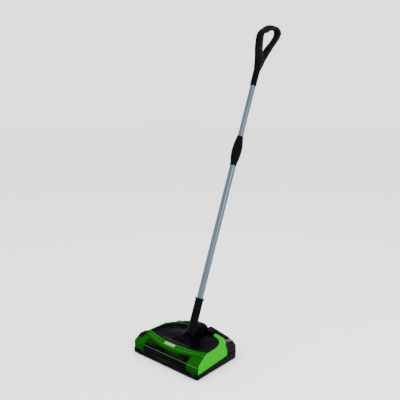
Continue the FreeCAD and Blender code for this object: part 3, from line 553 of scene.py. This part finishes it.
# ---------------------------------------------------------------------------
# Window: the dark see-through pane in the front of the bin, a curved sheet of green-tinted polycarbonate
# with one thin rib moulded across it, coloured pale as a painted highlight line.
tint = bpy.data.materials.new("lime_window")
tint.use_nodes = True
tint_bsdf = tint.node_tree.nodes["Principled BSDF"]
tint_bsdf.inputs["Specular IOR Level"].default_value = 0.05
tint_bsdf.inputs["Roughness"].default_value = 0.12
tint_bsdf.inputs["Transmission Weight"].default_value = 0.12
tint_bsdf.inputs["IOR"].default_value = 1.15
tint_nodes, tint_links = tint.node_tree.nodes, tint.node_tree.links
tint_place = tint_nodes.new("ShaderNodeTexCoord")
streak_map = tint_nodes.new("ShaderNodeMapping")
streak_map.inputs["Scale"].default_value = (9.0, 30.0, 60.0)
streaks = tint_nodes.new("ShaderNodeTexNoise")
streaks.inputs["Scale"].default_value = 1.0
streaks.inputs["Detail"].default_value = 3.0
tint_links.new(tint_place.outputs["Object"], streak_map.inputs["Vector"])
tint_links.new(streak_map.outputs["Vector"], streaks.inputs["Vector"])
tint_mix = tint_nodes.new("ShaderNodeMix")
tint_mix.data_type = "RGBA"
tint_mix.inputs["A"].default_value = (0.0008, 0.0014, 0.0008, 1)
tint_mix.inputs["B"].default_value = (0.0030, 0.0160, 0.0020, 1)
tint_links.new(ramp(tint_nodes, tint_links, streaks.outputs["Fac"], 0.42, 0.72),
        tint_mix.inputs["Factor"])
tint_links.new(tint_mix.outputs["Result"], tint_bsdf.inputs["Base Color"])
window_bm = bmesh.new()
WINDOW_LOW = 15.2
rows = []
across = [i / 60 for i in range(-60, 61)]
for k in range(0, 17):
    row = []
    for w in across:
        x = WINDOW_EDGE * w
        y_top = seam_y(x)
        y = y_top + (-FRONT - y_top) * math.sin(k / 16 * math.pi / 2)
        row.append((x, y, nose(y)))
    rows.append(row)
for k in range(1, 9):
    rows.append([(WINDOW_EDGE * w, -FRONT, 38.0 + (WINDOW_LOW - 38.0) * k / 8) for w in across])
lay_rows(window_bm, rows)
walled(window_bm, 2.2)
to_head(window_bm)
finish_mesh(window_bm, "bin_window_pane", tint, "bin", "lime_window", "bin_window")

# painted highlight: the rib is coloured pale to stand for the bright line across the window
rib_highlight_finish = moulded("rib_painted_highlight", (0.05, 0.07, 0.05), (0.10, 0.12, 0.09), 0.3, 500.0, 0.03, 0.0, 0.1)
rib_bm = bmesh.new()
rows = []
for dz, out in ((0.6, -0.6), (0.4, 0.25), (0.0, 0.4), (-0.4, 0.25), (-0.6, -0.6)):
    row = []
    for i in range(-60, 61):
        x = 24.5 + 132.5 * i / 60
        z = 46.0 + dz
        y = NOSE_LEN - FRONT - NOSE_LEN * math.sqrt(1 - ((z - TOP + NOSE_DROP) / NOSE_DROP) ** 2)
        row.append((x, y - out, z))
    rows.append(row)
lay_rows(rib_bm, rows)
walled(rib_bm, 0.5)
to_head(rib_bm)
finish_mesh(rib_bm, "bin_window_rib", rib_highlight_finish, "bin", "lime_window")

# ---------------------------------------------------------------------------
# Name plate: a small blank pale plate let into the strip, brushed and lacquered.
plate_finish = moulded("pale_plate", (0.08, 0.22, 0.07), (0.17, 0.32, 0.15), 0.35, 700.0, 0.05, 0.0, 0.1)
plate_bm = bmesh.new()
rows = []
for k in range(0, 7):
    y = -70.5 - 13.0 * k / 6
    rows.append([(-9.0 + 25.0 * i / 12, y, nose(y) + 0.5) for i in range(-12, 13)])
lay_rows(plate_bm, rows)
walled(plate_bm, 0.9)
to_head(plate_bm)
finish_mesh(plate_bm, "blank_plate", plate_finish, "bin", "pale_plate", "badge_plate")

# ---------------------------------------------------------------------------
# Deck: the polished black panel inside the ring, dished below it and swept up
# into a fairing round the slot where the neck turns.
black_gloss = moulded("black_gloss", (0.0004, 0.0004, 0.0010), (0.0009, 0.0009, 0.0020), 0.22, 400.0,
        0.02, 0.0, 0.006)
SLOT_HALF, SLOT_FRONT, SLOT_REAR = 23.5, 7.7, 84.0
deck_bm = bmesh.new()


def deck_outline(grow):
    pts = []
    for i in range(0, 73):
        pts.append(back_curve(DECK_HALF + grow, DECK_REAR + grow, 3.0, i / 72))
    for i in range(1, 36):
        u = -1 + i / 18
        pts.append((deck_front(u)[0] * (1 + grow / DECK_HALF), deck_front(u)[1] - grow))
    return pts


def slot_outline(pts):
    """The neck slot, with each point set on the line from the slot's middle to the rim."""
    mid = Vector((0, (SLOT_FRONT + SLOT_REAR) / 2))
    half_y = (SLOT_REAR - SLOT_FRONT) / 2
    out = []
    for x, y in pts:
        away = Vector((x, y)) - mid
        scale = 1.0 / max((abs(away.x) / SLOT_HALF) ** 8 + (abs(away.y) / half_y) ** 8, 1e-9) ** 0.125
        out.append((mid.x + away.x * scale, mid.y + away.y * scale))
    return out


rim = deck_outline(-0.5)
hole = slot_outline(rim)
rows = [[(x, y, 60.5) for x, y in rim]]
for k in range(0, 25):
    t = k / 24
    row = []
    for (xr, yr), (xh, yh) in zip(rim, hole):
        x, y = xr + (xh - xr) * t, yr + (yh - yr) * t
        dish = 65.0 + 4.2 * max((t - 0.3) / 0.7, 0) ** 1.5 - 2.0 * math.sin(math.pi * min(t * 1.5, 1.0))
        fairing = 3.6 * max((t - 0.62) / 0.38, 0) ** 2
        row.append((x, y, dish + fairing - (4.0 * (t - 0.667) if t > 0.667 else 0)))
    rows.append(row)
rows.append([(x, y, 62.0) for x, y in hole])
lay_rows(deck_bm, rows, closed=True)
walled(deck_bm, 1.8)
to_head(deck_bm)
finish_mesh(deck_bm, "deck_panel", black_gloss, "base", "black_gloss", "deck_cover")

# ---------------------------------------------------------------------------
# Rear housing: the black cover over battery, motor and wheels. It rises to a
# shoulder on each side of the neck, with a dip between for the neck to lie in.
# No holes are cut for the keys here, so they pass through its skin.
def rear_top(x, y):
    """Height of the rear cover: a flat front line into the arched back, levelled round each button."""
    ax = abs(x)
    depth = min(max((y - 38.0) / (REAR - 38.0), 0.0), 1.0)
    front_line = TOP - 12.0 * min(max((ax - 120.0) / 40.0, 0.0), 1.0) ** 1.6
    arch = 82.0 - 8.0 * min(max((ax - 34.0) / 33.0, 0), 1) - 8.0 * min(max((ax - 67.0) / 42.0, 0),
            1) ** 1.15
    arch -= 12.5 * min(max((ax - 109.0) / 29.0, 0), 1) ** 1.1 + 12.5 * min(max((ax - 138.0) / 22.0, 0), 1)
    height = front_line + (arch - front_line) * depth ** 1.35
    near = math.hypot(ax - 126.0, y - 100.6)
    flat = min(max((20.0 - near) / 8.0, 0.0), 1.0)
    return height + (60.0 - height) * flat * flat * (3 - 2 * flat)


REAR_R = 26.0
SKIRT = 30.9


def rear_edge(s):
    """Plan outline of the housing's outer wall: 0 at the side, 1 at the neck slot."""
    side_run = REAR - REAR_R - 48.0
    arc = REAR_R * math.pi / 2
    back_run = HALF - REAR_R - 24.0
    d = s * (side_run + arc + back_run)
    if d < side_run:
        return HALF, 48.0 + d
    if d < side_run + arc:
        a = (d - side_run) / REAR_R
        return HALF - REAR_R + REAR_R * math.cos(a), REAR - REAR_R + REAR_R * math.sin(a)
    return HALF - REAR_R - (d - side_run - arc), REAR


def ring_edge(s):
    """Inner edge of the housing: along the back of the ring, then across its mouth."""
    if s < 0.82:
        x, y = back_curve(RING_HALF + 0.5, RING_REAR + 0.5, RING_POWER, 0.077 + s / 0.82 * 0.368)
        return max(x, MOUTH), y
    q = (s - 0.82) / 0.18
    start = back_curve(RING_HALF + 0.5, RING_REAR + 0.5, RING_POWER, 0.445)
    drop = min(q * 2.2, 1.0)
    x = MOUTH + (24.0 - MOUTH) * max((q - 0.3) / 0.7, 0)
    return x, start[1] + (84.6 - start[1]) * drop


def rear_half(side):
    bm = bmesh.new()
    columns = [i / 90 for i in range(91)]
    rows = []
    edge_in = [ring_edge(s) for s in columns]
    rows.append([(side * x, y, rear_top(x, y) - 6.0) for x, y in edge_in])
    for k in range(0, 15):
        t = k / 14
        row = []
        for s, (xi, yi) in zip(columns, edge_in):
            xo, yo = rear_edge(s)
            x, y = xi + (xo - xi) * t, yi + (yo - yi) * t
            ease = 3.0 * max((t - 0.72) / 0.28, 0) ** 2.2 + 0.8 * max(1 - t * 7, 0) ** 2
            row.append((side * x, y, rear_top(x, y) - ease))
        rows.append(row)
    for k in range(1, 10):
        row = []
        for s in columns:
            xo, yo = rear_edge(s)
            z = rear_top(xo, yo) - 3.0
            row.append((side * xo, yo, z + (SKIRT - z) * k / 9))
        rows.append(row)
    lay_rows(bm, rows)
    return bm


rear_bm = bmesh.new()
for side in (-1, 1):
    half_bm = rear_half(side)
    half_mesh = bpy.data.meshes.new("rear_half")
    half_bm.to_mesh(half_mesh)
    half_bm.free()
    rear_bm.from_mesh(half_mesh)
# the dip between the shoulders, open in front where the knuckle turns
rows = []
for x in [-24.0 + 48.0 * i / 24 for i in range(25)]:
    dip = 71.0 + 9.0 * (abs(x) / 24.0) ** 3
    rows.append([(x, 112.5, dip - 6.0), (x, 112.5, dip - 1.0), (x, 113.5, dip), (x, 116.0, dip - 0.4),
            (x, REAR, dip - 2.0), (x, REAR, 50.0), (x, REAR, SKIRT)])
lay_rows(rear_bm, rows)
walled(rear_bm, 2.2)
to_head(rear_bm)
finish_mesh(rear_bm, "rear_cover", black_satin, "base", "black_satin", "rear_housing")

# ---------------------------------------------------------------------------
# Handle axis. Pieces turned about it are drawn upright in millimetres from the
# foot of the axis and then leaned back with the handle.
joint = {j["name"]: j for j in frame["record"]["behaviour"]["joints"]}
LEAN = Vector(joint["collar_twist"]["axis"]).normalized()
COLLAR_MID = 756.0
axis_foot = Vector(joint["collar_twist"]["pos_m"]) - LEAN * COLLAR_MID * MM
lean_turn = Vector((0, 0, 1)).rotation_difference(LEAN).to_matrix().to_4x4()


def to_handle(bm):
    bmesh.ops.transform(bm, matrix=Matrix.Translation(axis_foot) @ lean_turn @ Matrix.Scale(MM, 4),
            verts=bm.verts)


def turned(profile, steps=72):
    """A solid turned on the handle axis from a closed (radius, height) outline."""
    bm = bmesh.new()
    verts = [bm.verts.new((r, 0, v)) for r, v in profile]
    edges = [bm.edges.new((a, b)) for a, b in zip(verts, verts[1:] + verts[:1])]
    bmesh.ops.spin(bm, geom=verts + edges, cent=(0, 0, 0), axis=(0, 0, 1), angle=2 * math.pi, steps=steps,
            use_merge=True)
    bmesh.ops.remove_doubles(bm, verts=bm.verts, dist=0.01)
    bmesh.ops.recalc_face_normals(bm, faces=bm.faces)
    return bm


# ---------------------------------------------------------------------------
# Neck and knuckle: one hollow black moulding. A drum turns on the pivot pin and
# runs out into the round socket that takes the lower tube; the two melt together.
def melted(parts, voxel, passes):
    """Runs several closed bodies into one, with soft inner corners."""
    whole = bmesh.new()
    for part in parts:
        mesh = bpy.data.meshes.new("part")
        part.to_mesh(mesh)
        part.free()
        whole.from_mesh(mesh)
    mesh = bpy.data.meshes.new("melt")
    whole.to_mesh(mesh)
    whole.free()
    made = bpy.data.objects.new("melt", mesh)
    bpy.context.scene.collection.objects.link(made)
    weld = made.modifiers.new("weld", "REMESH")
    weld.mode = "VOXEL"
    weld.voxel_size = voxel
    ease = made.modifiers.new("ease", "SMOOTH")
    ease.factor = 0.5
    ease.iterations = passes
    result = bpy.data.meshes.new_from_object(made.evaluated_get(bpy.context.evaluated_depsgraph_get()))
    bpy.data.objects.remove(made)
    out = bmesh.new()
    out.from_mesh(result)
    return out


pin_at = lean_turn.inverted() @ (Vector(joint["handle_tilt"]["pos_m"]) - axis_foot) / MM
drum = turned([(0, -22.0), (42.0, -22.0), (45.5, -20.5), (47.7, -17.5), (48.5, -13.5), (48.5, 13.5),
        (47.7, 17.5), (45.5, 20.5),
               (42.0, 22.0), (0, 22.0)], 120)
bmesh.ops.transform(drum, matrix=Matrix.Translation(pin_at) @ Matrix.Rotation(math.pi / 2, 4, "Y"),
        verts=drum.verts)
socket = turned([(0, pin_at.z), (16.6, pin_at.z), (16.2, 90.0), (15.9, 149.0), (15.2, 150.0), (0, 150.0)],
        72)
neck_bm = melted([drum, socket], 1.3, 6)
to_handle(neck_bm)
finish_mesh(neck_bm, "neck_knuckle", black_satin, "handle_lower", "black_satin", "neck")
pin_cap = turned([(0, -23.2), (6.2, -23.2), (6.8, -22.6), (7.0, -21.6), (7.0, 21.6), (6.8, 22.6),
        (6.2, 23.2), (0, 23.2)], 48)
bmesh.ops.transform(pin_cap, matrix=Matrix.Translation(pin_at) @ Matrix.Rotation(math.pi / 2, 4, "Y"),
        verts=pin_cap.verts)
to_handle(pin_cap)
finish_mesh(pin_cap, "neck_pin_boss", black_satin, "handle_lower", "black_satin")

# ---------------------------------------------------------------------------
# Neck ring: a thin black stop flange pressed on where the tube enters the neck.
ring_profile = [(12.5, 150.0), (17.0, 150.0), (18.6, 150.8), (19.6, 152.0), (20.0, 153.3), (19.6, 154.6),
        (18.6, 155.7), (16.0, 156.5), (12.5, 156.5)]
flange = turned(ring_profile)
to_handle(flange)
finish_mesh(flange, "neck_flange", black_satin, "handle_lower", "black_satin", "neck_ring")

# ---------------------------------------------------------------------------
# Anodised tube finish: drawn aluminium, blue-grey, with fine lengthways draw
# lines and a slightly uneven dye.
tube_metal = bpy.data.materials.new("tube_metal")
tube_metal.use_nodes = True
nodes, links = tube_metal.node_tree.nodes, tube_metal.node_tree.links
bsdf = nodes["Principled BSDF"]
bsdf.inputs["Metallic"].default_value = 0.75
place = nodes.new("ShaderNodeTexCoord")
along = nodes.new("ShaderNodeMapping")
along.inputs["Rotation"].default_value = (math.atan2(LEAN.y, LEAN.z), 0, 0)
along.inputs["Scale"].default_value = (900.0, 900.0, 6.0)
lines = nodes.new("ShaderNodeTexNoise")
lines.inputs["Scale"].default_value = 1.0
lines.inputs["Detail"].default_value = 3.0
dye = nodes.new("ShaderNodeTexNoise")
dye.inputs["Scale"].default_value = 9.0
dye.inputs["Detail"].default_value = 3.0
dye_mix = nodes.new("ShaderNodeMix")
dye_mix.data_type = "RGBA"
dye_mix.inputs["A"].default_value = (0.050, 0.068, 0.090, 1)
dye_mix.inputs["B"].default_value = (0.075, 0.100, 0.128, 1)
gloss = nodes.new("ShaderNodeMapRange")
gloss.inputs["To Min"].default_value = 0.26
gloss.inputs["To Max"].default_value = 0.40
bump = nodes.new("ShaderNodeBump")
bump.inputs["Strength"].default_value = 0.08
bump.inputs["Distance"].default_value = 0.0002
links.new(place.outputs["Object"], along.inputs["Vector"])
links.new(along.outputs["Vector"], lines.inputs["Vector"])
links.new(place.outputs["Object"], dye.inputs["Vector"])
links.new(dye.outputs["Fac"], dye_mix.inputs["Factor"])
links.new(dye_mix.outputs["Result"], bsdf.inputs["Base Color"])
links.new(lines.outputs["Fac"], gloss.inputs["Value"])
links.new(gloss.outputs["Result"], bsdf.inputs["Roughness"])
links.new(lines.outputs["Fac"], bump.inputs["Height"])
links.new(bump.outputs["Normal"], bsdf.inputs["Normal"])

# ---------------------------------------------------------------------------
# Lower and upper tubes: drawn aluminium, 25 and 22 mm, cut ends deburred.
for name, node, body, r, low, high in (("lower_tube_drawn", "lower_tube", "handle_lower", 12.5, 100.0,
        716.0),
                                       ("upper_tube_drawn", "upper_tube", "handle_upper", 11.0, 600.0,
                                               1064.0)):
    wall = turned([(r - 1.0, low), (r - 0.3, low), (r, low + 0.4), (r, high - 0.4), (r - 0.3, high),
            (r - 1.0, high)], 96)
    to_handle(wall)
    finish_mesh(wall, name, tube_metal, body, "tube_metal", node)

# ---------------------------------------------------------------------------
# Collar: fixed black sleeve below and, above it, the ribbed twist sleeve that
# closes the clamp on the upper tube. Both are moulded.
sleeve = turned([(12.5, 686.0), (13.2, 686.0), (13.5, 686.6), (14.0, 700.0), (14.6, 704.0), (16.9, 710.0),
        (17.4, 711.5), (17.5, 715.6), (12.5, 715.6)])
to_handle(sleeve)
finish_mesh(sleeve, "collar_sleeve", black_satin, "handle_lower", "black_satin", "collar_base")
RIBS = 18
collar_profile = [(12.6, 716.0), (17.3, 716.0), (17.6, 716.6), (18.6, 724.0), (19.6, 732.0),
        (20.0, 741.0), (20.0, 750.0), (19.5, 760.0),
                  (18.5, 770.0), (17.0, 781.0), (15.2, 791.0), (13.8, 798.0), (13.0, 803.0), (12.7,
                          805.4), (12.2, 806.0), (11.6, 806.0),
                  (11.6, 784.4), (12.6, 784.4)]
collar_bm = turned(collar_profile, RIBS * 8)
bmesh.ops.subdivide_edges(collar_bm,
        edges=[e for e in collar_bm.edges if abs(e.verts[0].co.z - e.verts[1].co.z) > 5], cuts=2)
for vert in collar_bm.verts:
    radius = math.hypot(vert.co.x, vert.co.y)
    if radius > 14 and 722 < vert.co.z < 792:
        wave = 0.5 - 0.5 * math.cos(math.atan2(vert.co.y, vert.co.x) * RIBS)
        fade = math.sin(math.pi * (vert.co.z - 722) / 70)
        vert.co.x *= 1 - 0.055 * wave ** 3 * fade
        vert.co.y *= 1 - 0.055 * wave ** 3 * fade
to_handle(collar_bm)
finish_mesh(collar_bm, "collar_twist_sleeve", black_satin, "collar", "black_satin", "twist_collar")

# ---------------------------------------------------------------------------
# Loop grip: a teardrop ring on a short stem, two moulded halves that meet on the
# centre line, with a finger rise inside the front of the loop.
OUTER = [(4, 1072), (-15, 1082), (-21, 1104), (-30, 1130), (-42, 1158), (-50, 1189), (-51, 1218),
        (-37, 1243),
         (-3, 1277), (39, 1296), (70, 1302), (92, 1295), (95, 1280), (86, 1252), (62, 1206), (43,
                 1160), (28, 1122), (19, 1088)]
INNER = [(4, 1166), (-9, 1195), (-15, 1225), (-10, 1239), (2, 1244), (16, 1259), (32, 1271), (46, 1278),
        (56, 1275),
         (57, 1261), (45, 1232), (24, 1198), (13, 1176)]
grip_finish = moulded("grip_black", (0.0009, 0.0009, 0.0013), (0.0017, 0.0017, 0.0026), 0.42, 1300.0, 0.2,
        0.0, 0.022)


def smooth_loop(points, count):
    """Closed curve through the points, cut into equal lengths."""
    fine = []
    size = len(points)
    for i in range(size):
        p0, p1, p2, p3 = (Vector(points[(i + k - 1) % size]) for k in range(4))
        for j in range(20):
            t = j / 20
            fine.append(0.5 * ((2 * p1) + (p2 - p0) * t + (2 * p0 - 5 * p1 + 4 * p2 - p3) * t * t
                               + (3 * p1 - p0 - 3 * p2 + p3) * t * t * t))
    fine.append(fine[0])
    length = [0.0]
    for a, b in zip(fine, fine[1:]):
        length.append(length[-1] + (b - a).length)
    out = []
    k = 0
    for i in range(count):
        want = length[-1] * i / count
        while length[k + 1] < want:
            k += 1
        share = (want - length[k]) / (length[k + 1] - length[k])
        out.append(fine[k].lerp(fine[k + 1], share))
    return out


grip_bm = bmesh.new()
SECTION = 28
rows = []
for far, near in zip(smooth_loop(OUTER, 120), smooth_loop(INNER, 120)):
    middle, half = (far + near) / 2, (far - near) / 2
    row = []
    for k in range(SECTION):
        a = 2 * math.pi * k / SECTION
        c, sn = math.cos(a), math.sin(a)
        point = middle + half * math.copysign(abs(c) ** 0.8, c)
        row.append((11.0 * math.copysign(abs(sn) ** 0.8, sn), point.x, point.y))
    rows.append(row)
lay_rows(grip_bm, [row + row[:1] for row in rows] + [rows[0] + rows[0][:1]])
bmesh.ops.remove_doubles(grip_bm, verts=grip_bm.verts, dist=0.01)
bmesh.ops.recalc_face_normals(grip_bm, faces=grip_bm.faces)
stem = turned([(0, 1030.0), (13.0, 1030.0), (13.5, 1060.0), (13.5, 1110.0), (13.0, 1130.0),
        (10.0, 1150.0), (0, 1156.0)], 48)
solid_mesh = bpy.data.meshes.new("grip_solid")
whole_grip = melted([grip_bm, stem], 1.5, 12)
whole_grip.to_mesh(solid_mesh)
whole_grip.free()
for side, word in ((-1, "left"), (1, "right")):
    half_bm = bmesh.new()
    half_bm.from_mesh(solid_mesh)
    cut = bmesh.ops.bisect_plane(half_bm, geom=half_bm.verts[:] + half_bm.edges[:] + half_bm.faces[:],
            dist=0.001,
                                 plane_co=(side * 0.12, 0, 0), plane_no=(-side, 0, 0), clear_outer=True)
    rim_edges = [g for g in cut["geom_cut"] if isinstance(g, bmesh.types.BMEdge)]
    bmesh.ops.triangle_fill(half_bm, use_beauty=True, edges=rim_edges)
    bmesh.ops.recalc_face_normals(half_bm, faces=half_bm.faces)
    to_handle(half_bm)
    finish_mesh(half_bm, "grip_" + word, grip_finish, "handle_upper", "black_satin", "grip_half_" + word)
grip_foot = turned([(11.0, 1018.0), (12.6, 1018.0), (13.0, 1018.8), (13.1, 1030.5), (11.0, 1030.5)])
to_handle(grip_foot)
finish_mesh(grip_foot, "grip_foot_band", grip_finish, "handle_upper", "black_satin")

# ---------------------------------------------------------------------------
# Bright steel, for pins, screws, straps and the motor can: turned or stamped,
# lightly scratched, with a dull film in places.
def bare_metal(name, color, tone, roughness):
    made = moulded(name, color, tone, roughness, 1600.0, 0.05)
    made.node_tree.nodes["Principled BSDF"].inputs["Metallic"].default_value = 1.0
    return made


steel = bare_metal("steel", (0.50, 0.50, 0.51), (0.40, 0.40, 0.42), 0.3)
chrome = bare_metal("silver_ring", (0.24, 0.23, 0.26), (0.16, 0.15, 0.18), 0.2)
bronze = bare_metal("bronze", (0.55, 0.36, 0.17), (0.42, 0.27, 0.12), 0.38)
for node, body in (("pivot_pin", "base"), ("motor_can", "base"), ("motor_strap", "base"),
        ("wheel_axles", "base"), ("roller_axles", "base"),
                   ("base_screws", "base"), ("pivot_bracket_left", "base"), ("pivot_bracket_right",
                           "base"),
                   ("brush_shaft", "brush"), ("motor_shaft", "motor_rotor")):
    eased(node, steel, body, "steel", 0.25)
for node, body in (("motor_pulley", "motor_rotor"), ("brush_bearing_left", "base"),
        ("brush_bearing_right", "base")):
    eased(node, bronze, body, "bronze", 0.25)

# ---------------------------------------------------------------------------
# Grey mouldings inside and underneath: trays, levers, pulleys, wheel hubs.
grey_plastic = moulded("grey_plastic", (0.09, 0.10, 0.115), (0.13, 0.145, 0.16), 0.42, 1000.0, 0.12)
for node, body in (("motor_cradle", "base"), ("battery_tray", "base"), ("release_lever", "base"),
        ("release_latch", "latch"),
                   ("brush_pulley", "brush"), ("clamp_bush", "handle_lower"), ("tube_plug",
                           "handle_upper"),
                   ("wheel_hub_left", "wheel_left"), ("wheel_hub_right", "wheel_right"),
                   ("front_roller_left", "roller_left"), ("front_roller_right", "roller_right")):
    eased(node, grey_plastic, body, "grey_plastic", 0.4)
black_zinc = bare_metal("black_zinc", (0.02, 0.02, 0.022), (0.035, 0.035, 0.037), 0.45)
for node, body in (("tube_screw", "handle_lower"), ("grip_screws", "handle_upper")):
    eased(node, black_zinc, body, "steel", 0.2)
for node in ("bin_trough", "brush_hood", "power_switch", "charge_jack", "board_parts"):
    eased(node, black_satin, "bin" if node == "bin_trough" else "base", "black_satin", 0.4)

# ---------------------------------------------------------------------------
# Buttons: a round key in a bright plated ring, power on the right and bin
# release on the left. Each key is slightly hollowed for the toe.
key_finish = moulded("key_grey", (0.010, 0.010, 0.013), (0.02, 0.02, 0.024), 0.3, 900.0, 0.08, 0.0, 0.1)
ring_finish = {"left": moulded("ring_slate", (0.012, 0.035, 0.040), (0.02, 0.05, 0.055), 0.3, 900.0, 0.08,
        0.0, 0.1), "right": chrome}
for word, node, body in (("left", "release_button", "release_key"),
        ("right", "power_button", "power_key")):
    eased(node, key_finish, body, "grey_plastic", 0.3)
    eased("button_bezel_" + word, ring_finish[word], "base", "silver_ring", 0.3)
for node in ("power_spring", "release_spring"):
    eased(node, steel, "base", "steel", 0.15)

# ---------------------------------------------------------------------------
# Battery cells, circuit board: shrink-wrapped cells and a lacquered laminate.
cell_wrap = moulded("cell_wrap", (0.03, 0.14, 0.32), (0.04, 0.18, 0.38), 0.25, 200.0, 0.05)
board_green = moulded("board_green", (0.012, 0.11, 0.035), (0.02, 0.16, 0.05), 0.3, 2500.0, 0.1)
eased("battery_cells", cell_wrap, "base", "cell_wrap", 0.6)
eased("circuit_board", board_green, "base", "board_green", 0.15)

# ---------------------------------------------------------------------------
# Rubber: wheel tyres and the ribbed drive belt.
rubber = moulded("tyre_rubber", (0.016, 0.016, 0.016), (0.028, 0.028, 0.027), 0.7, 700.0, 0.35)
belt_rubber = moulded("belt_rubber", (0.013, 0.013, 0.013), (0.02, 0.02, 0.02), 0.6, 900.0, 0.3)
eased("drive_belt", belt_rubber, "base", "belt_rubber", 0.2)
for word in ("left", "right"):
    eased("wheel_tyre_" + word, rubber, "wheel_" + word, "tyre_rubber", 1.4)

# ---------------------------------------------------------------------------
# Brush roll: a moulded core with tufted rows of nylon set in spiral grooves.
brush_plastic = moulded("brush_plastic", (0.03, 0.03, 0.034), (0.05, 0.05, 0.055), 0.4)
bristle = moulded("bristle", (0.035, 0.035, 0.04), (0.08, 0.08, 0.085), 0.5, 2500.0, 0.4)
eased("brush_core", brush_plastic, "brush", "brush_plastic", 0.4)
spin_joint = joint["brush_spin"]
brush_middle = Vector(spin_joint["pos_m"])
TUFTS, ROWS = 38, 6
tuft_bm = bmesh.new()
for row_index in range(ROWS):
    for i in range(TUFTS):
        x = -129.5 + 259.0 * i / (TUFTS - 1)
        turn = 2 * math.pi * row_index / ROWS
        made = bmesh.ops.create_cone(tuft_bm, cap_ends=True, segments=6, radius1=1.3, radius2=2.1,
                depth=19.0)
        lean = Matrix.Rotation(math.radians(7 * math.sin(i * 2.3 + row_index)), 4, "Y")
        spot = Matrix.Rotation(turn, 4, "X") @ Matrix.Translation((x, 0, 19.4)) @ lean
        bmesh.ops.transform(tuft_bm, matrix=spot, verts=made["verts"])
bmesh.ops.transform(tuft_bm, matrix=Matrix.Translation(brush_middle) @ Matrix.Scale(MM, 4),
        verts=tuft_bm.verts)
finish_mesh(tuft_bm, "brush_tufts", bristle, "brush", "bristle", "brush_bristles")
